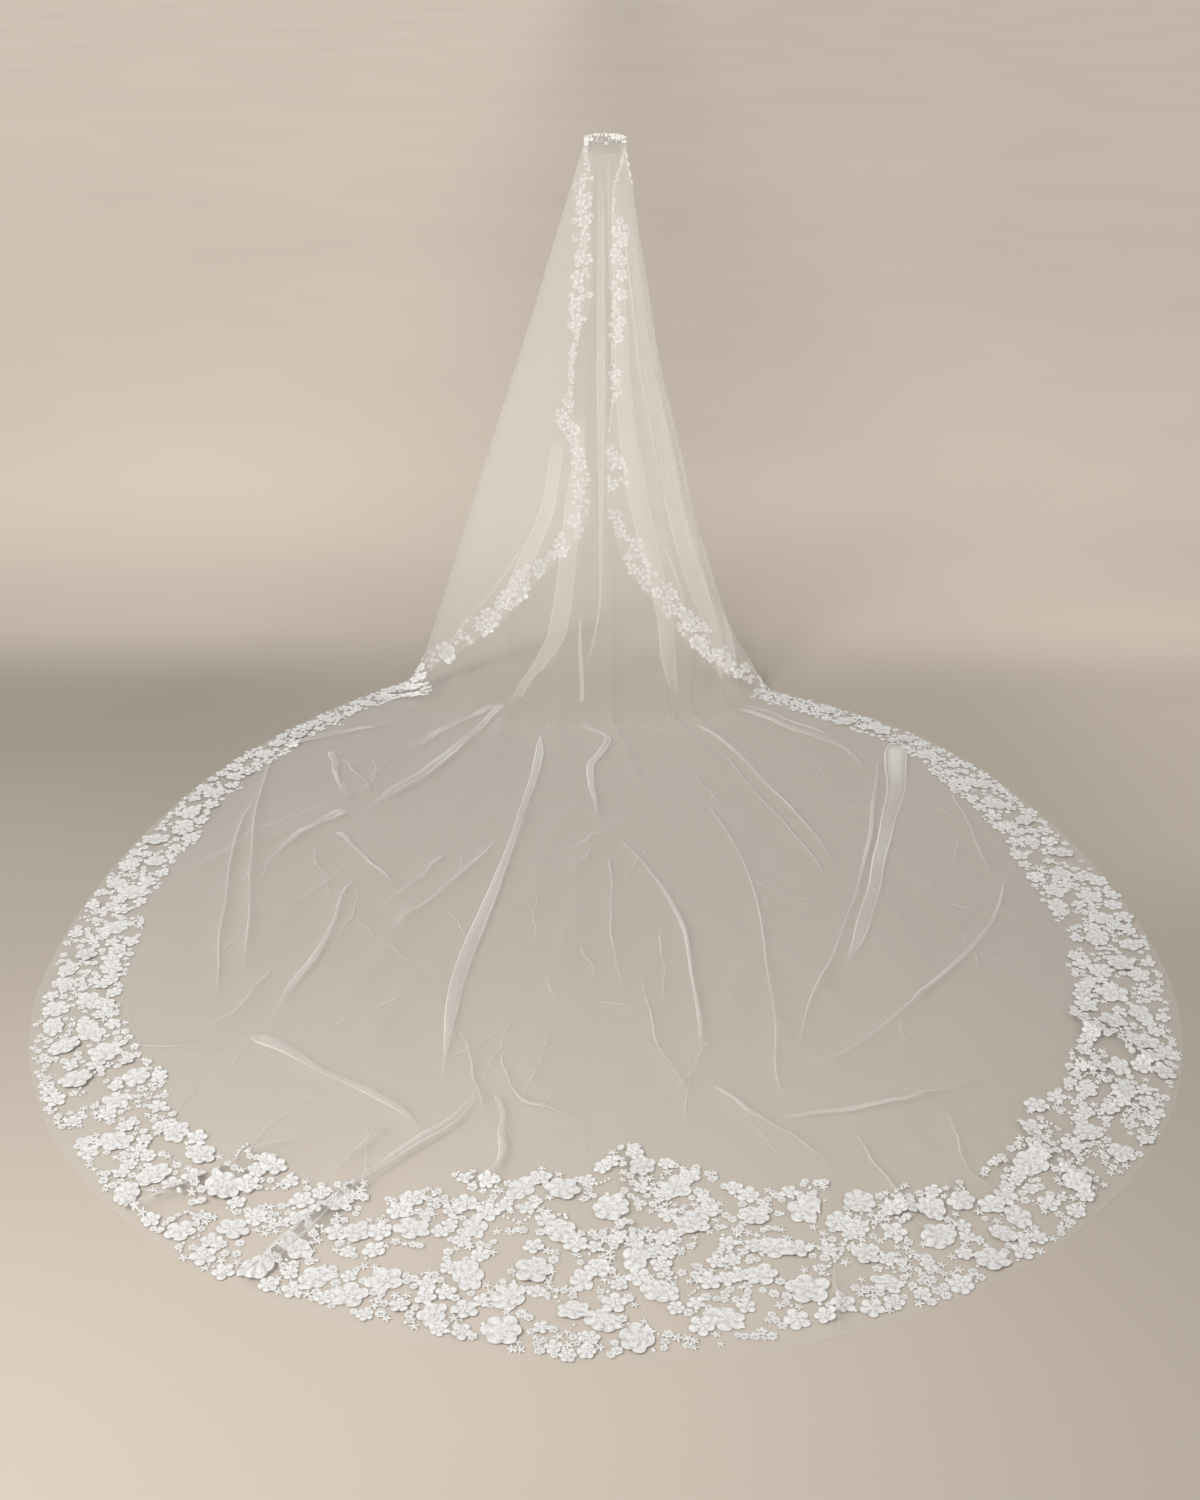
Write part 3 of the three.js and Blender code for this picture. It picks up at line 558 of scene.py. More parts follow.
def hanging_strip(rows):
    """The doubled cloth along a pleat of the hanging part."""
    heights, places, widths = np.array(rows[::-1], float).T
    height = np.linspace(heights[0], heights[-1], LAID_STEPS)
    middle = look_up(heights, places, height)
    fade = taper(np.linspace(0, 1, LAID_STEPS), 0.06, 0.15)
    wide, high, dense = ribbon_section(look_up(heights, widths, height), fade, HANGING_COVER)
    down = 1 - height * MM / DROP
    step = 0.005
    span = np.linalg.norm(panel(middle + step, down) - panel(middle - step, down), axis=-1) / (2 * step)
    across = middle[:, None] + wide * MM / span[:, None]
    down = np.broadcast_to(down[:, None], across.shape)
    points = drape(across, down) + panel_normal(across, down) * (high * 0.4 * MM)[..., None]
    dense = np.minimum(dense, MOST_COVER)
    return np.column_stack([points.reshape(-1, 3), dense]), grid_faces(*wide.shape)


def build_strips():
    """The doubled cloth along the folds that lie over, on the floor and on the hanging part."""
    doubled = ALL_FOLDS[:len(FOLDS) + CREASE_LINES]
    forms = [lying_strip(row, route) for row, route in doubled]
    forms += [hanging_strip(rows) for rows in LAID_PLEATS]
    return new_mesh("tulle_folds", *joined(forms))


# Lace: flowers, small blossoms, stars and beads. Each form is (points, faces). A point is its
# place in mm, flat on the cloth with the third axis out of it, and how dense the thread is there,
# which on the petals also holds painted shade between the petals and under each next round.

def ring_angles(around):
    return np.arange(around) / around * 2 * math.pi


def disc(out, angle, rise, dense):
    """Form of rings: its distance from the middle, height and density, by ring and by angle."""
    grid = np.broadcast_arrays(out * np.cos(angle), out * np.sin(angle), rise, dense)
    return np.stack(grid, axis=-1).reshape(-1, 4), grid_faces(*grid[0].shape, closed=True)


def petal_disc(radius, petals, notch, cup, puff, ruffle, rings, per_petal, under, turn):
    """One round of petals as a disc of rings, with each petal puffed up between its notches. The
    thread's density falls towards the notches and near the edge of the next round: painted shade
    between the petals and under the round above. under is the share of it that the next round
    covers."""
    theta = ring_angles(petals * per_petal)
    off = (theta + math.pi / petals) % (2 * math.pi / petals) - math.pi / petals
    middle = 0.5 + notch * 0.25
    tip = 1 - middle
    lobe = middle * np.cos(off) + np.sqrt(np.maximum(0.004, tip**2 - (middle * np.sin(off)) ** 2))
    bulge = np.cos(off * petals / 2) ** 0.7
    length = np.repeat(1 + RANDOM.uniform(-0.09, 0.09, petals), per_petal)
    length = (length + np.roll(length, 1) + np.roll(length, -1)) / 3
    length = np.roll(length, per_petal // 2)
    rho = np.linspace(0.05, 1, rings)[:, None] ** 0.85
    wave = np.sin(theta * (petals * 2 + 1) + RANDOM.uniform(0, 6)) * ruffle
    rise = cup * radius * rho**2 + puff * bulge * np.sin(math.pi * np.minimum(1, rho * 0.92)) ** 0.8
    # Painted shade: the thread is darkened towards each notch between petals and near the edge of the round
    # above
    dense = (0.05 + 0.95 * bulge**0.8) * (0.45 + 0.55 * np.clip((rho - under) / 0.25, 0, 1))
    return disc(rho * (radius * length * lobe), theta + turn, rise + wave * rho**3, dense)


def loop(radius):
    """A corded ring with a low middle."""
    rho, high, dense = np.array([(0.2, 0.08, 0.2), (0.68, 0.32, 1.0), (1.0, 0.0, 0.9)]).T[:, :, None]
    return disc(rho * radius, ring_angles(6), high * radius, dense)


def bead(radius):
    slope = np.linspace(0.12, math.pi / 2, 3)[:, None]
    rho = np.sin(slope)
    return disc(rho * radius, ring_angles(6), np.cos(slope) * radius, 1 - 0.4 * rho)


def moved(form, offset):
    points, faces = form
    return points + np.array(offset + (0,), float), faces


def joined(forms):
    """Several forms in one."""
    starts = np.cumsum([0] + [len(points) for points, _ in forms])
    faces = [faces + start for (_, faces), start in zip(forms, starts)]
    return np.vstack([points for points, _ in forms]), np.vstack(faces)


# Rounds of petals from the outside in: share of the radius, number of petals with 0 for a drawn
# one, notch, cup, puff in mm, ruffle in mm, rings, points to a petal, share that the next round
# covers, near whose edge the thread is darkened as painted shade, and height in mm. Then the
# radius and the height of the bead in the middle.
ROSE_ROUNDS = [
    (1.0, 0, 0.28, 0.004, 0.75, 0.25, 5, 8, 0.66, 0.0),
    (0.74, 6, 0.3, 0.015, 1.0, 0.25, 4, 6, 0.55, 0.6),
    (0.46, 5, 0.34, 0.04, 0.9, 0.2, 3, 5, 0.5, 1.2),
    (0.25, 5, 0.3, 0.1, 0.8, 0.2, 3, 4, 0.0, 1.7),
]
ROSE_BEAD = (0.07, 2.3)
FLOWER_ROUNDS = [
    (1.0, 0, 0.34, 0.01, 0.75, 0.25, 4, 6, 0.45, 0.0),
    (0.48, 5, 0.42, 0.05, 0.9, 0.2, 3, 4, 0.0, 0.6),
]
FLOWER_BEAD = (0.13, 1.1)


def petal_rounds(rounds, radius, drawn, offsets, middle):
    """Rounds of petals over each other with a bead in the middle."""
    forms = []
    for (share, petals, *shape, high), offset in zip(rounds, offsets):
        turn = RANDOM.uniform(0, 6) if forms else 0
        forms.append(moved(petal_disc(radius * share, petals or drawn, *shape, turn), (*offset, high)))
    return joined(forms + [moved(bead(radius * middle[0]), (0, 0, middle[1]))])


def make_rose(radius):
    petals = int(RANDOM.integers(5, 8))
    off = RANDOM.normal(0, radius * 0.05, 4)
    offsets = [(0, 0), (off[0], off[1]), (off[2], off[3]), (0, 0)]
    points, faces = petal_rounds(ROSE_ROUNDS, radius, petals, offsets, ROSE_BEAD)
    points[:, 0] *= RANDOM.uniform(0.72, 0.95)
    return points, faces


def make_flower(radius):
    petals = int(RANDOM.choice([5, 5, 6]))
    return petal_rounds(FLOWER_ROUNDS, radius, petals, [(0, 0), (0, 0)], FLOWER_BEAD)


def make_blossom(radius):
    """Corded loops in a ring."""
    loops = int(RANDOM.choice([5, 6, 6]))
    forms = [moved(bead(radius * 0.2), (0, 0, 0.3))]
    for i in range(loops):
        forms.append(moved(loop(radius * 0.4), (*towards(i * 2 * math.pi / loops, radius * 0.62), 0)))
    return joined(forms)


def make_star(radius):
    theta = ring_angles(20)
    point = np.abs(np.cos(theta * 2.5))
    rho = np.array([0.05, 0.45, 1])[:, None]
    rise = 1.2 * (1 - rho**2) + 0.6 * point * rho * (1 - rho) * 4
    return disc(rho * (radius * (0.3 + 0.7 * point**2)), theta, rise, 0.5 + 0.4 * point)


def make_leaf(radius):
    points, faces = bead(radius)
    points[:, 0] *= RANDOM.uniform(0.6, 0.9)
    points[:, 2] *= 0.5
    return points, faces


MAKERS = {"rose": make_rose, "flower": make_flower, "blossom": make_blossom, "star": make_star,
          "bead": bead, "leaf": make_leaf}
# How far in mm a motif lies over the one under it, and the most that any is lifted
OVERLAP_LIFT = 0.7
MOST_LIFT = 1.4


class Lace:
    """Motifs laid on flat ground in mm, later mapped on to the cloth."""

    def __init__(self):
        self.places = np.zeros((0, 2))
        self.radii = np.zeros(0)
        self.lifts = np.zeros(0)
        self.forms = []

    def room(self, place, radius, packed, before=0, apart=0.0):
        """Whether a motif may lie here: packed is how near it comes to the others as a share of
        both radii, and apart how far in mm it stays from the first ones."""
        gap = np.hypot(*(self.places - place).T)
        least = packed * (self.radii + radius)
        least[:before] = self.radii[:before] + radius + apart
        return bool(np.all(gap >= least))

    def lay(self, kind, place, radius, tilt=0.03):
        gap = np.hypot(*(self.places - place).T)
        under = self.lifts[gap < 0.8 * (self.radii + radius)]
        lift = min(MOST_LIFT, under.max() + OVERLAP_LIFT) if len(under) else 0.0
        points, faces = MAKERS[kind](radius)
        turn = RANDOM.uniform(0, 2 * math.pi)
        c, s = math.cos(turn), math.sin(turn)
        x = place[0] + c * points[:, 0] - s * points[:, 1]
        y = place[1] + s * points[:, 0] + c * points[:, 1]
        lean = RANDOM.normal(0, tilt, 2)
        high = lift + points[:, 2] + np.abs(lean).sum() * radius
        high = high + lean[0] * (x - place[0]) + lean[1] * (y - place[1])
        self.forms.append((np.stack([x, y, high, points[:, 3]], axis=-1), faces))
        self.places = np.vstack([self.places, place])
        self.radii = np.append(self.radii, radius)
        self.lifts = np.append(self.lifts, lift)


# Width of the lace border in mm by the angle in degrees round the train, from the middle of its
# back, and the angle at which its left and right pieces start
BORDER = np.array([
    (-146.5, 80), (-125, 100), (-108, 148), (-90, 190), (-72, 225), (-60, 262), (-48, 258), (-36, 315),
    (-26, 385), (-14, 470), (3, 575), (14, 475), (26, 385), (34, 255), (48, 245), (67, 245), (86, 225),
    (104, 196), (118, 158), (134, 113), (146.5, 90),
], float).T
BORDER_SPLIT = 52

# The comb's bow and the strip of lace over it, in mm, and the strip's larger flowers: place along
# it, place up from its middle, radius and kind
COMB_BOW = 58
COMB_BOW_DEPTH = 8
STRIP = {"length": 124, "rise": 5, "front": -6.6}
HEAD_FLOWERS = [
    (-52, 3, 9, "flower"), (-54, -9, 6, "blossom"), (-41, 12, 6, "star"), (-38, 2, 6, "blossom"),
    (-29, 13, 4.5, "blossom"), (-18, 11, 4, "blossom"), (-8, 13, 4.5, "star"), (3, 11, 4.5, "blossom"),
    (14, 13, 4, "blossom"), (4, -10, 7, "star"), (24, 8, 8.5, "flower"), (39, 8, 9, "flower"),
    (33, -3, 4.5, "star"), (52, 9, 6, "blossom"), (57, -2, 5, "blossom"), (-22, 2, 4, "star"),
    (12, 3, 4, "star"), (49, -3, 4, "blossom"),
]
# The two strings of beads, up from the strip's middle in mm, and tries for small motifs between
HEAD_STRINGS = (-3.0, 16.5)
HEAD_TRIES = 50
# Limits of each motif's radius in mm
RADII = {"rose": (30, 42), "flower": (17, 28), "blossom": (8, 12), "star": (9, 12.5), "bead": (2.4, 3.2),
         "leaf": (4, 6)}


def train_edge():
    """Plan points of the train's edge in mm, with the angle of each."""
    out = np.linspace(0, 1, 160)
    angle = np.linspace(-CORNER, CORNER, 1200) / DEGREE
    left = train_side(-1, out)[:, :2]
    right = train_side(1, out)[::-1, :2]
    points = np.vstack([left, outline(angle[1:-1] * DEGREE)[:, :2], right]) / MM
    turn = (FLOOR_EDGE + (CORNER - FLOOR_EDGE) * out) / DEGREE
    angles = np.concatenate([-turn, angle[1:-1], turn[::-1]])
    return points, angles


class TrainBand:
    """The lace border's ground: places along the train's edge and in from it, in plan mm."""

    def __init__(self):
        self.edge, self.angles = train_edge()
        self.inward = leftward(self.edge)
        self.walked = walked_along(np.linalg.norm(np.diff(self.edge, axis=0), axis=1))
        self.length = self.walked[-1]

    def limits(self, along):
        """Where the lace starts and ends, in from the edge."""
        angle = np.interp(along, self.walked, self.angles)
        width = look_up(BORDER[0], BORDER[1], angle)
        swell = math.sin(along / 128) * 0.6 + math.sin(along / 57 + 1) * 0.4
        lobes = math.sin(along / 93 + 2) * 0.6 + math.sin(along / 41) * 0.4
        margin = 6 + 0.055 * min(width, 400) * (1 + 0.9 * swell)
        return margin, width + 0.1 * min(width, 400) * lobes

    def point(self, along, inset):
        i = min(len(self.edge) - 1, int(np.searchsorted(self.walked, along)))
        return self.edge[i] + self.inward[i] * inset

    def inset(self, place):
        """How far a place is in from the edge."""
        i = int(np.hypot(*(self.edge - place).T).argmin())
        return float((place - self.edge[i]) @ self.inward[i])

    def piece(self, along):
        angle = np.interp(along, self.walked, self.angles)
        if angle < -BORDER_SPLIT:
            return "left"
        return "right" if angle > BORDER_SPLIT else "back"


def in_gap(gaps, place, grow):
    away = place - gaps[:, :2]
    c, s = np.cos(gaps[:, 4]), np.sin(gaps[:, 4])
    u = (away[:, 0] * c + away[:, 1] * s) / (gaps[:, 2] + grow)
    v = (-away[:, 0] * s + away[:, 1] * c) / (gaps[:, 3] + grow)
    return bool(np.any(u * u + v * v < 1))


def find_gaps(band):
    """Bare lens-shaped places between the flowers: middle, half length, half width and turn."""
    gaps = np.zeros((0, 5))
    for _ in range(GAPS["tries"]):
        along = RANDOM.uniform(0, band.length)
        low, high = band.limits(along)
        room = high - low
        if room < GAPS["least_room"]:
            continue
        place = band.point(along, RANDOM.uniform(low + 0.1 * room, high - 0.1 * room))
        if len(gaps) and np.hypot(*(gaps[:, :2] - place).T).min() < GAPS["apart"]:
            continue
        share = min(1, room / GAPS["full_room"])
        long = RANDOM.uniform(*GAPS["size"]) * share
        turn = RANDOM.uniform(0, math.pi)
        gaps = np.vstack([gaps, [*place, long, long * RANDOM.uniform(0.35, 0.6), turn]])
        beside = place + towards(turn, long * RANDOM.uniform(0.6, 1.1))
        bent = turn + RANDOM.choice([-1, 1]) * RANDOM.uniform(0.5, 1.3)
        gaps = np.vstack([gaps, [*beside, 0.8 * long, long * RANDOM.uniform(0.25, 0.5), bent]])
    return gaps


# Sprays of the train's lace: tries for a metre of border, motif in the middle, most flowers that
# follow it towards each end, and how far in mm it stays from other sprays
SPRAYS = [
    (200, "rose", 3, -9),
    (300, "flower", 2, -6),
    (900, "flower", 1, -8),
    (1400, "blossom", 0, -4),
    (800, "star", 0, -4),
]
# How near two motifs of different sprays come as a share of both radii, small motifs at the rim of
# each larger one, sprigs for a metre of border, and the most of its width that a motif takes
SPRAY_PACKED = 0.6
RIM_MOTIFS = 3
RIM_KINDS = {"blossom": 0.45, "star": 0.3, "leaf": 0.25}
SPRIGS = 16
FIT = 0.42
# Bare places in mm: tries, how far apart, half lengths, the narrowest border that has any, and the
# width from which they are full size
GAPS = {"tries": 900, "apart": 100, "size": (26, 56), "least_room": 90, "full_room": 240}
# How deep a motif may reach into a bare place in mm, and how far over the border's limits as a
# share of its radius
REACH = {"rose": 2, "flower": -1, "blossom": 3, "star": 7, "leaf": 5}
OVER = {"rose": -0.7, "flower": -0.4, "blossom": 0.1, "star": 0.7, "leaf": 0.3}


class Spray:
    """A motif with smaller ones in a bent line towards both ends and at their rims."""

    def __init__(self, lace, band, gaps, apart):
        self.lace = lace
        self.band = band
        self.gaps = gaps
        self.apart = apart
        self.before = len(lace.radii)
        self.laid = []

    def lay(self, kind, radius, at):
        """Lays a motif at a place along and in from the edge, if it fits there."""
        low, high = self.band.limits(at[0])
        over = OVER[kind] * radius
        place = self.band.point(*at)
        if not low - over <= at[1] <= high + over or in_gap(self.gaps, place, radius * 0.55 - REACH[kind]):
            return False
        if not self.lace.room(place, radius, SPRAY_PACKED, self.before, self.apart):
            return False
        self.lace.lay(kind, place, radius)
        self.laid.append((at, radius))
        return True

    def line(self, flowers, at, last, way):
        """Smaller motifs, each beside the last one, until one doesn't fit."""
        kinds = ["flower"] * int(RANDOM.integers(0, flowers + 1)) + ["blossom"] * int(RANDOM.integers(0, 3))
        for kind in kinds + ["star"]:
            radius = RANDOM.uniform(*RADII[kind])
            at = at + towards(way, 0.84 * (last + radius))
            if not self.lay(kind, radius, at):
                return
            last = radius
            way += RANDOM.normal(0, 0.4)

    def rims(self):
        """Small motifs round the rim of each one laid so far."""
        for at, last in self.laid[:]:
            for _ in range(RIM_MOTIFS):
                kind = RANDOM.choice(list(RIM_KINDS), p=list(RIM_KINDS.values()))
                radius = RANDOM.uniform(*RADII[kind])
                way = RANDOM.uniform(0, 2 * math.pi)
                self.lay(kind, radius, at + towards(way, 0.9 * (last + radius)))


def fill_train(band):
    lace = Lace()
    gaps = find_gaps(band)
    pieces = []
    for tries, kind, flowers, apart in SPRAYS:
        for _ in range(int(tries * band.length / 1000)):
            along = RANDOM.uniform(0, band.length)
            low, high = band.limits(along)
            radius = min(RANDOM.uniform(*RADII[kind]), FIT * (high - low))
            middle = np.array([along, RANDOM.uniform(low, high)])
            way = RANDOM.normal(0.3 * math.pi, 0.9)
            spray = Spray(lace, band, gaps, apart)
            if spray.lay(kind, radius, middle):
                if kind != "star":
                    spray.line(flowers, middle, radius, way)
                    spray.line(flowers, middle, radius, way + math.pi)
                    spray.rims()
                pieces += [band.piece(along)] * len(spray.laid)
    return lace, pieces


def fill_edging(band):
    """Flowers of a hanging free edge, strewn between its bare places."""
    lace = Lace()
    gaps = edge_gaps(band)
    for kind, tries, packed, reach, over in EDGE_SCATTER:
        for _ in range(int(tries * band.length / 1000)):
            along = RANDOM.uniform(0, band.length)
            low, high = band.limits(along)
            radius = min(RANDOM.uniform(*RADII[kind]), FIT * (high - low))
            low -= over * radius
            high += over * radius
            if radius < RADII["bead"][0] or high <= low:
                continue
            place = band.point(along, RANDOM.uniform(low, high))
            if not in_gap(gaps, place, radius * 0.55 - reach) and lace.room(place, radius, packed):
                lace.lay(kind, place, radius)
    return lace


def sprigs(lace, pieces, band):
    """Curved strings of small leaves with a star at the end, out into the bare places."""
    for _ in range(int(SPRIGS * band.length / 1000)):
        along = RANDOM.uniform(0, band.length)
        low, high = band.limits(along)
        place = band.point(along, RANDOM.uniform(low, high))
        heading = RANDOM.uniform(0, 2 * math.pi)
        bend = RANDOM.normal(0, 0.3)
        leaves = int(RANDOM.integers(3, 8))
        for i in range(leaves):
            kind = "star" if i == leaves - 1 else "leaf"
            radius = RANDOM.uniform(*RADII[kind])
            if band.inset(place) > 2 * radius and lace.room(place, radius, 0.7):
                lace.lay(kind, place, radius)
                pieces.append(band.piece(along))
            heading += bend
            place = place + towards(heading, 2.2 * radius)


def on_train(form):
    """Form in plan mm, laid on the cloth of the train."""
    points, faces = form
    plan = points[:, :2] * MM
    z = LYING + fold_field(plan) + LACE_LIFT + points[:, 2] * MM
    return np.column_stack([plan, z, points[:, 3]]), faces


class EdgeBand:
    """The hanging free edge of one side, by the way along it and in from it. The ground is flat:
    the way down the cloth and the way along its level lines, in mm."""

    # Points along the edge and across it, and which of those across shows the way along a level line
    ROWS = 70
    COLUMNS = 120
    LEVEL_AT = 30

    def __init__(self, sign):
        self.sign = sign
        self.downs = np.linspace(0.012, 1.0, self.ROWS)
        self.insets = np.linspace(-0.06, 0.5, self.COLUMNS)
        d, i = np.meshgrid(self.downs, self.insets, indexing="ij")
        points = panel(sign * (1 - i), d) / MM
        steps = np.linalg.norm(np.diff(points, axis=1), axis=-1)
        inward = np.hstack([np.zeros((self.ROWS, 1)), np.cumsum(steps, axis=1)])
        at_edge = np.array([np.interp(0, self.insets, row) for row in inward])
        self.inward = inward - at_edge[:, None]
        edge = panel(np.full(self.ROWS, float(sign)), self.downs) / MM
        moved = np.diff(edge, axis=0)
        level = points[:-1, self.LEVEL_AT] - edge[:-1]
        level /= np.linalg.norm(level, axis=1, keepdims=True)
        along_level = np.sum(moved * level, axis=1)
        straight_down = np.linalg.norm(moved - along_level[:, None] * level, axis=1)
        self.walked = walked_along(np.linalg.norm(moved, axis=1))
        self.fallen = walked_along(straight_down)
        self.shift = walked_along(along_level)
        self.length = self.walked[-1]

    def limits(self, along):
        height = DROP * (1 - np.interp(along, self.walked, self.downs))
        width = float(np.interp(height / MM, *np.array(EDGE_WIDTH[self.sign], float).T))
        return 0.05 * width, width * (1 + 0.12 * math.sin(along / 31))

    def point(self, along, inset):
        fallen = np.interp(along, self.walked, self.fallen)
        return np.array([fallen, np.interp(along, self.walked, self.shift) + inset])

    def on_cloth(self, form):
        points, faces = form
        row = np.interp(points[:, 0], self.fallen, np.arange(len(self.fallen)))
        down = np.interp(points[:, 0], self.fallen, self.downs)
        low = np.minimum(row.astype(int), len(self.fallen) - 2)
        want = points[:, 1] - np.interp(row, np.arange(len(self.shift)), self.shift)
        inset = np.zeros(len(points))
        for r in np.unique(low):
            at = np.flatnonzero(low == r)
            upper = np.interp(want[at], self.inward[r], self.insets)
            lower = np.interp(want[at], self.inward[r + 1], self.insets)
            inset[at] = upper + (lower - upper) * (row[at] - r)
        across = self.sign * (1 - inset)
        out = (LACE_LIFT + points[:, 2] * MM)[:, None]
        place = drape(across, down) + panel_normal(across, down) * out
        return np.column_stack([place, points[:, 3]]), faces if self.sign < 0 else faces[:, ::-1]


# Width of the edging's flowers in mm by height above the floor, on the left and on the right. In
# places the cloth turns and only a string of beads shows.
EDGE_WIDTH = {
    -1: [(0, 100), (18, 120), (50, 132), (110, 128), (190, 118), (280, 104), (370, 88), (480, 70), (620, 62),
         (650, 46), (890, 56), (930, 36), (980, 20), (1140, 18), (1180, 56), (1600, 50), (1625, 14),
         (1720, 10)],
    1: [(0, 100), (18, 120), (50, 132), (110, 128), (190, 120), (280, 104), (370, 88), (470, 72), (490, 34),
        (555, 48), (575, 6), (640, 6), (655, 60), (780, 58), (795, 6), (930, 6), (945, 32), (1035, 30),
        (1055, 6), (1105, 6), (1125, 44), (1215, 44), (1225, 16), (1250, 16), (1265, 48), (1480, 42),
        (1500, 9), (1720, 9)],
}
# Motifs of the edging: kind, tries for a metre, how near they come to each other as a share of both
# radii, reach into a bare place in mm, and how far over the limits as a share of the radius
EDGE_SCATTER = [
    ("rose", 14, 2.4, 0, -0.9),
    ("flower", 360, 0.76, 0, -0.5),
    ("blossom", 500, 0.8, 3, -0.2),
    ("star", 300, 0.8, 5, 0.3),
    ("bead", 600, 0.85, 4, 0.0),
]
# A tail of small motifs beside the comb, down the right of the hanging part: height in mm and
# place across the panel at both ends
TAIL = ((1700, 0.5), (1598, 0.56))
TAIL_MOTIFS = 40


def edge_gaps(band):
    """Bare places of the narrow edging, one after another along it."""
    gaps = np.zeros((0, 5))
    along = 60.0
    while along < band.length - 40:
        low, high = band.limits(along)
        inset = low + (high - low) * RANDOM.choice([0.0, 0.12, 0.55, 0.85, 1.0])
        size = min(60, high - low)
        long = size * RANDOM.uniform(0.3, 0.55)
        place = band.point(along, inset)
        gaps = np.vstack([gaps, [*place, long, size * RANDOM.uniform(0.2, 0.36), RANDOM.normal(0, 0.5)]])
        along += RANDOM.uniform(42, 100)
    return gaps


def lay_tail(lace, band):
    """Small motifs in a row, TAIL_MOTIFS of them, that spreads towards its lower end."""
    (top, across_top), (bottom, across_bottom) = TAIL
    for share in np.linspace(0, 1, TAIL_MOTIFS):
        down = 1 - (top + (bottom - top) * share) * MM / DROP
        row = int(np.searchsorted(band.downs, down))
        across = across_top + (across_bottom - across_top) * share + RANDOM.normal(0, 0.05) * share
        inset = np.interp(1 - across, band.insets, band.inward[row])
        place = band.point(np.interp(down, band.downs, band.walked), inset)
        kind = RANDOM.choice(["blossom", "star", "leaf"])
        lace.lay(kind, place, RANDOM.uniform(3, 5.5))


def headpiece():
    """Flowers and strings of beads on the arched strip over the comb, in mm along x and z."""
    lace = Lace()
    half = STRIP["length"] / 2

    def arch(x):
        return STRIP["rise"] * (1 - (x / half) ** 2)

    for x, z, radius, kind in HEAD_FLOWERS:
        lace.lay(kind, np.array([x, arch(x) + z]), radius, tilt=0.02)
    for line in HEAD_STRINGS:
        x = -half + 1
        while x < half:
            z = arch(x) + line * (1 - 0.25 * (x / half) ** 2) + RANDOM.normal(0, 0.5)
            radius = RANDOM.uniform(0.9, 1.6)
            if lace.room(np.array([x, z]), radius, 0.7):
                lace.lay("bead", np.array([x, z]), radius, tilt=0.0)
            x += RANDOM.uniform(2.4, 5.0)
    for _ in range(HEAD_TRIES):
        x = RANDOM.uniform(-half, half)
        place = np.array([x, arch(x) + RANDOM.uniform(-2, 15)])
        radius = RANDOM.uniform(1.2, 2.6)
        if lace.room(place, radius, 1.3):
            lace.lay("blossom" if radius > 2.2 else "bead", place, radius, tilt=0.0)
    points, faces = joined(lace.forms)
    x, z, out, dense = points.T
    bow_at = np.minimum(COMB_BOW, np.abs(x)) * 0.9
    bow = COMB_BOW_DEPTH * (1 - np.sqrt(1 - (bow_at / COMB_BOW) ** 2))
    y = STRIP["front"] + bow - 0.35 * out
    return np.stack([x * MM, y * MM, z * MM, dense], axis=-1), faces


class Material:
    """A material with its nodes. A value is a number, a colour or another node's output."""

    def __init__(self, name, color, roughness):
        self.data = bpy.data.materials.new(name)
        self.data.use_nodes = True
        self.tree = self.data.node_tree
        self.shade({"Base Color": (*color, 1), "Roughness": roughness})
        self.place = self.add("NewGeometry", {}, "Position")

    def feed(self, node, values):
        for key, value in values.items():
            if isinstance(value, bpy.types.NodeSocket):
                self.tree.links.new(value, node.inputs[key])
            else:
                node.inputs[key].default_value = value

    def shade(self, values):
        self.feed(self.tree.nodes["Principled BSDF"], values)

    def add(self, kind, values, output=0, **settings):
        """A new node's output."""
        node = self.tree.nodes.new("ShaderNode" + kind)
        for key, value in settings.items():
            setattr(node, key, value)
        self.feed(node, values)
        return node.outputs[output]

    def math(self, operation, a, b, **settings):
        return self.add("Math", {0: a, 1: b}, operation=operation, **settings)

    def total(self, a, b):
        return self.math("ADD", a, b)

    def product(self, a, b):
        return self.math("MULTIPLY", a, b)

    def noise(self, scale, detail):
        return self.add("TexNoise", {"Scale": scale, "Detail": detail, "Vector": self.place}, "Fac")

    def dense(self):
        return self.add("Attribute", {}, "Fac", attribute_name="dense")

    def ramp(self, source, low, high, start=0.0, end=1.0, way="LINEAR"):
        """Goes from low to high while the source goes from start to end."""
        return self.add("MapRange", {0: source, 1: start, 2: end, 3: low, 4: high}, interpolation_type=way)

    def mix(self, share, a, b):
        return self.add("Mix", {0: share, 6: (*a, 1), 7: (*b, 1)}, 2, data_type="RGBA")

    def bump(self, height, strength, distance):
        return self.add("Bump", {"Strength": strength, "Distance": distance, "Height": height})


# Cover of one layer of net seen face on, and the least slope that its cover is worked out with
TULLE_COVER = 0.13
LEAST_SLOPE = 0.3


def tulle_material():
    """Net that covers more the more steeply it is looked through."""
    net = Material("ivory_tulle", (0.87, 0.835, 0.79), 0.6)
    facing = net.add("LayerWeight", {"Blend": 0.5}, "Facing")
    slope = net.math("MAXIMUM", net.math("SUBTRACT", 1.0, facing), LEAST_SLOPE)
    through = net.math("POWER", 1 - TULLE_COVER, net.math("DIVIDE", 1.0, slope))
    cover = net.math("SUBTRACT", 1.0, through)
    patch = net.ramp(net.noise(5.0, 3.0), 0.85, 1.15)
    net.shade({"Alpha": net.product(net.product(cover, patch), net.dense()), "Sheen Weight": 0.2})
    return net.data


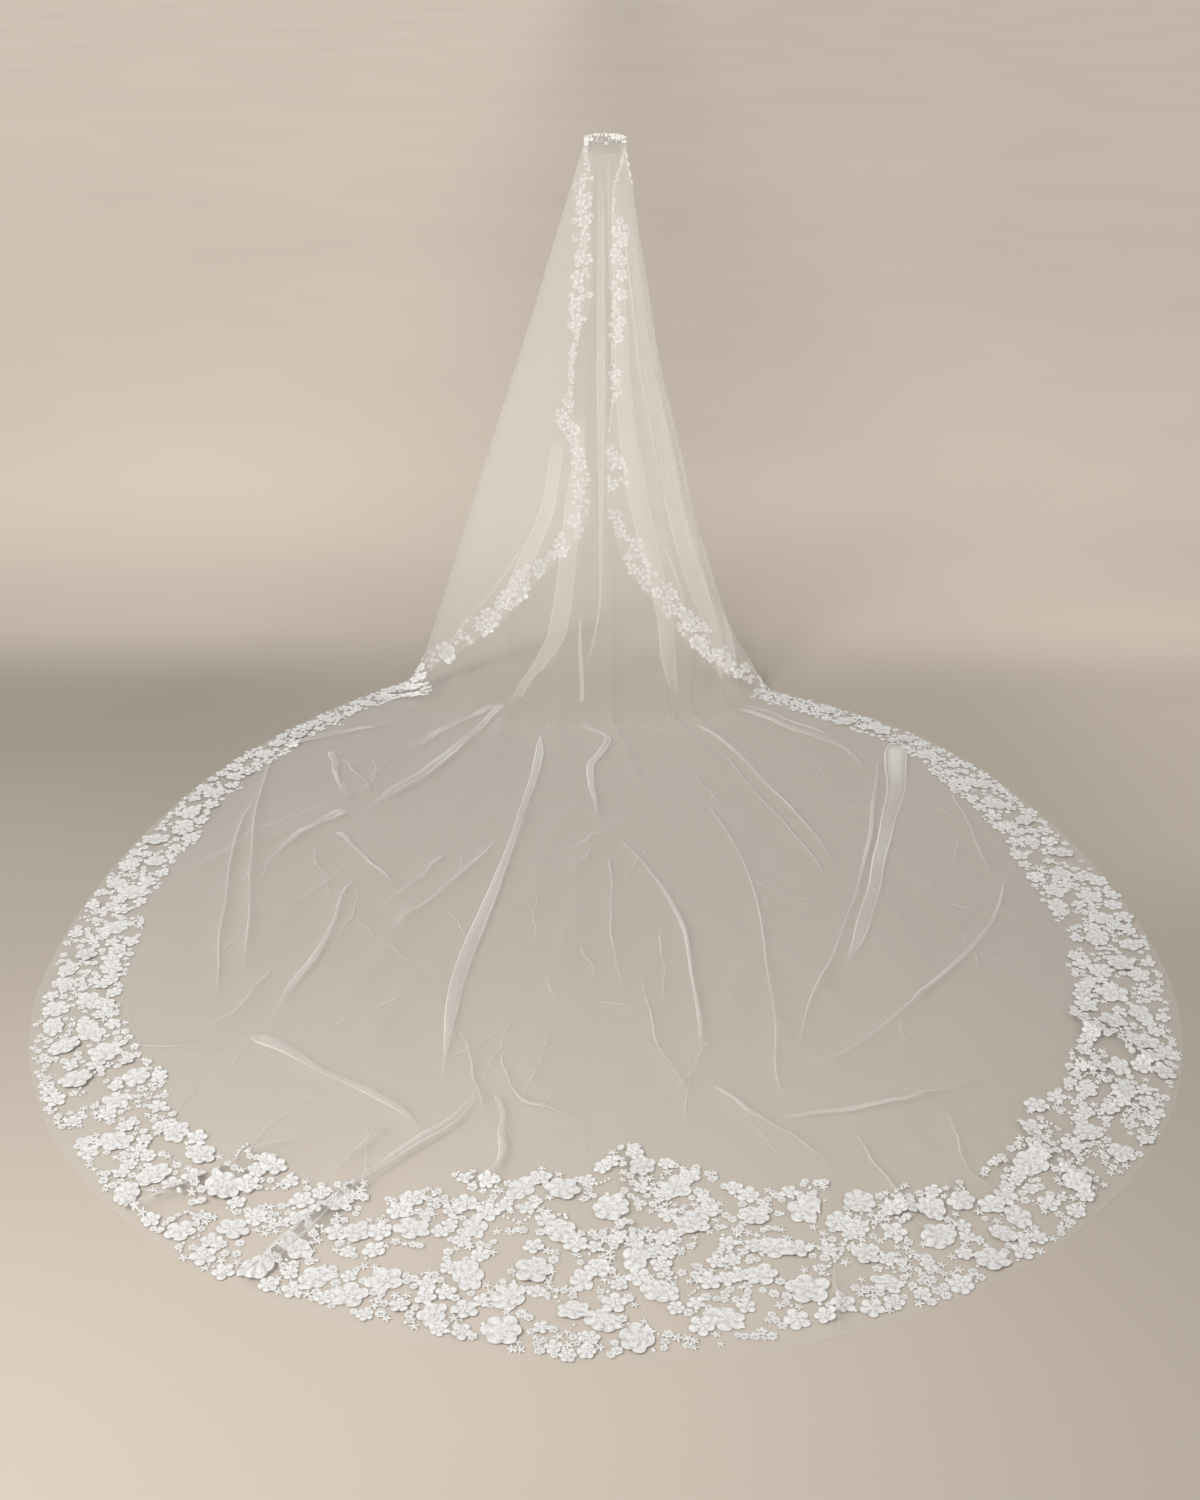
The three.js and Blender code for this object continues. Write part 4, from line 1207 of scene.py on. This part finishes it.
def lace_material():
    """Corded thread, darker where it is thin and where shade is painted into its density between petals and
    under the rounds above.
    """
    lace = Material("corded_lace", (0.88, 0.87, 0.85), 0.8)
    mottle = lace.ramp(lace.noise(175.0, 2.0), -0.85, 0.85)
    tone = lace.math("ADD", lace.dense(), mottle, use_clamp=True)
    # The dark tint shows the thinner thread and the painted shade that the density holds
    tint = lace.mix(tone, (0.62, 0.597, 0.567), (0.985, 0.972, 0.955))
    wave = {"Scale": 260.0, "Distortion": 9.0, "Detail": 2.0, "Detail Scale": 1.4, "Vector": lace.place}
    thread = lace.add("TexWave", wave, "Fac")
    cells = lace.add("TexVoronoi", {"Scale": 420.0, "Vector": lace.place}, "Distance")
    relief = lace.bump(lace.total(thread, cells), 0.5, 0.001)
    lace.shade({"Base Color": tint, "Normal": relief, "Sheen Weight": 0.1})
    return lace.data


def comb_material():
    """Grey metal, brushed along the comb."""
    comb = Material("comb_metal", (0.32, 0.32, 0.33), 0.34)
    along = comb.add("Mapping", {"Scale": (3.0, 1.0, 1.0), "Vector": comb.place})
    brush = comb.add("TexNoise", {"Scale": 900.0, "Detail": 3.0, "Vector": along}, "Fac")
    rough = comb.ramp(brush, 0.26, 0.46)
    comb.shade({"Metallic": 1.0, "Roughness": rough, "Normal": comb.bump(brush, 0.25, 0.0002)})
    return comb.data


def dress(piece, material, slot, *nodes):
    piece.data.materials.append(material)
    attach(piece, "root")
    if nodes:
        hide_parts(*nodes)
    return piece


def build_veil():
    net = tulle_material()
    tulle = dress(build_tulle(), net, "tulle", "tulle_panel")
    laces = [dress(build_strips(), net, "tulle")]
    thread = lace_material()
    band = TrainBand()
    lace, pieces = fill_train(band)
    sprigs(lace, pieces, band)
    for side in ("left", "back", "right"):
        form = joined([form for form, piece in zip(lace.forms, pieces) if piece == side])
        obj = new_mesh("flowers_" + side, *on_train(form))
        laces.append(dress(obj, thread, "lace", "lace_border_" + side))
    for side, sign in (("left", -1), ("right", 1)):
        band = EdgeBand(sign)
        lace = fill_edging(band)
        if sign > 0:
            lay_tail(lace, band)
        obj = new_mesh("edging_" + side, *band.on_cloth(joined(lace.forms)))
        laces.append(dress(obj, thread, "lace", "lace_edging_" + side))
    dress(new_mesh("headpiece", *headpiece()), thread, "lace", "headpiece_lace")
    metal = comb_material()
    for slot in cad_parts["comb"].material_slots:
        slot.material = metal


# Half the side of the floor, and its two tints
FLOOR_REACH = 60
FLOOR_TINTS = ((0.6, 0.526, 0.444), (0.67, 0.588, 0.498))
# Painted light and shade of the floor: tones that make the paper's colour lighter or darker by
# place, as of paper lit in front, and a painted glow that it gives off behind the veil. Each goes
# by y, by x or by the way from the middle line: its values, and the places in m where it has them
SOFT_PAINTED_LIGHT = {
    "front": ("y", 0.955, 0.70, -3.3, -1.3),
    "behind": ("y", 0.0, 1.0, -0.05, 0.6),
    "beside": ("aside", 0.13, 0.31, 0.0, 1.6),
    "right": ("x", 0.0, 0.13, 1.0, 1.9),
    "flanks": ("aside", 0.0, 0.07, 1.1, 2.0),
    "back": ("y", 0.0, 1.0, -1.7, -0.9),
    "painted_glow": ("y", 0.0, 0.44, -0.5, 2.4),
    "painted_dim_right": ("x", 1.0, 0.74, -1.4, 1.2),
}
EVEN_PAINTED_LIGHT = {
    "ahead": ("y", 1.0, 0.2, -0.2, 0.9),
    "floor": ("y", 1.0, 0.0, 0.3, 1.3),
    "further": ("y", 0.0, 0.08, 3.0, 12.0),
}
# The floor's painted slant of light: the y that it turns about, its strength and its limits
SLANT = {"turn": 1.6, "strength": 0.055, "limits": (-0.12, 0.24)}


def paper_material():
    paper = Material("paper", (0.56, 0.485, 0.40), 0.9)
    total = paper.total
    product = paper.product
    x, y = (paper.add("SeparateXYZ", {0: paper.place}, axis) for axis in "XY")
    by = {"x": x, "y": y, "aside": paper.math("ABSOLUTE", x, 0.0)}
    tone = {name: paper.ramp(by[axis], *span, way="SMOOTHSTEP") for name, (axis, *span) in SOFT_PAINTED_LIGHT.items()}
    tone.update({name: paper.ramp(by[axis], *span) for name, (axis, *span) in EVEN_PAINTED_LIGHT.items()})
    # The floor's colour: its tints times the painted light and shade of the tones and the slant
    flank = product(product(total(tone["flanks"], tone["right"]), tone["back"]), tone["ahead"])
    painted_light_and_shade = total(tone["front"], total(product(tone["behind"], tone["beside"]), flank))
    slant = product(product(total(y, SLANT["turn"]), x), SLANT["strength"])
    lowest, highest = SLANT["limits"]
    slant = paper.add("Clamp", {"Value": slant, "Min": lowest, "Max": highest})
    painted_light_and_shade = total(painted_light_and_shade, product(slant, tone["floor"]))
    tint = paper.mix(paper.noise(0.6, 2.0), *FLOOR_TINTS)
    color = paper.add("VectorMath", {0: tint, 1: painted_light_and_shade}, operation="MULTIPLY")
    # Painted glow: the floor gives off light behind the veil, though it is no lamp, less on the right
    painted_glow = product(total(tone["painted_glow"], tone["further"]), tone["painted_dim_right"])
    paper.shade({"Base Color": color, "Emission Color": tint, "Emission Strength": painted_glow})
    return paper.data


def build_stage():
    """A pale floor that runs out to the horizon, with painted light and shade, brighter behind the veil where
    it gives off a painted glow.
    """
    sides = [(-1, -1), (1, -1), (1, 1), (-1, 1)]
    corners = np.array([(x * FLOOR_REACH, y * FLOOR_REACH, FLOOR) for x, y in sides])
    paper = new_mesh("paper", corners, np.array([(0, 1, 2, 3)]))
    paper.data.materials.append(paper_material())


# Name, size in m, power in W, spread in degrees, place and target of each lamp
LAMPS = [
    ("key", 1.5, 160, 180, (-3.0, -4.2, 2.2), (-0.1, -1.0, -1.2)),
    ("front", 1.6, 15, 56, (-0.6, -5.8, 0.9), (0.0, 0.0, -0.75)),
    ("fill", 3.0, 48, 180, (3.6, -4.0, 2.6), (0.8, 0.8, -0.2)),
]
WORLD_COLOR = (1, 0.98, 0.95, 1)
WORLD_STRENGTH = 0.42


def build_lights():
    for name, size, energy, spread, place, target in LAMPS:
        lamp = bpy.data.lights.new(name, "AREA")
        lamp.size = size
        lamp.energy = energy
        lamp.spread = spread * DEGREE
        obj = bpy.data.objects.new(name, lamp)
        bpy.context.scene.collection.objects.link(obj)
        obj.location = place
        x, y, z = np.array(target) - np.array(place)
        obj.rotation_euler = (-math.atan2(math.hypot(x, y), -z), 0, math.atan2(x, -y))
    world = bpy.data.worlds.new("studio")
    bpy.context.scene.world = world
    world.use_nodes = True
    sky = world.node_tree.nodes["Background"]
    sky.inputs["Color"].default_value = WORLD_COLOR
    sky.inputs["Strength"].default_value = WORLD_STRENGTH


# The photo's camera: lens and long side of its frame in mm, place in m, degrees down, far clip in m
CAMERA = {"lens": 42, "sensor": 36, "place": (-0.014, -5.214, 0.715), "down": 27, "far": 200}
# Layers of net that a sight line may pass
NET_LAYERS = 40


def build_camera():
    scene = bpy.context.scene
    lens = bpy.data.cameras.new("camera")
    lens.lens = CAMERA["lens"]
    lens.sensor_width = CAMERA["sensor"]
    lens.clip_end = CAMERA["far"]
    camera = bpy.data.objects.new("camera", lens)
    scene.collection.objects.link(camera)
    camera.location = CAMERA["place"]
    camera.rotation_euler = ((90 - CAMERA["down"]) * DEGREE, 0, 0)
    scene.camera = camera
    scene.cycles.transparent_max_bounces = NET_LAYERS
    scene.view_settings.view_transform = "Standard"


def main():
    build_veil()
    build_stage()
    build_lights()
    build_camera()


main()
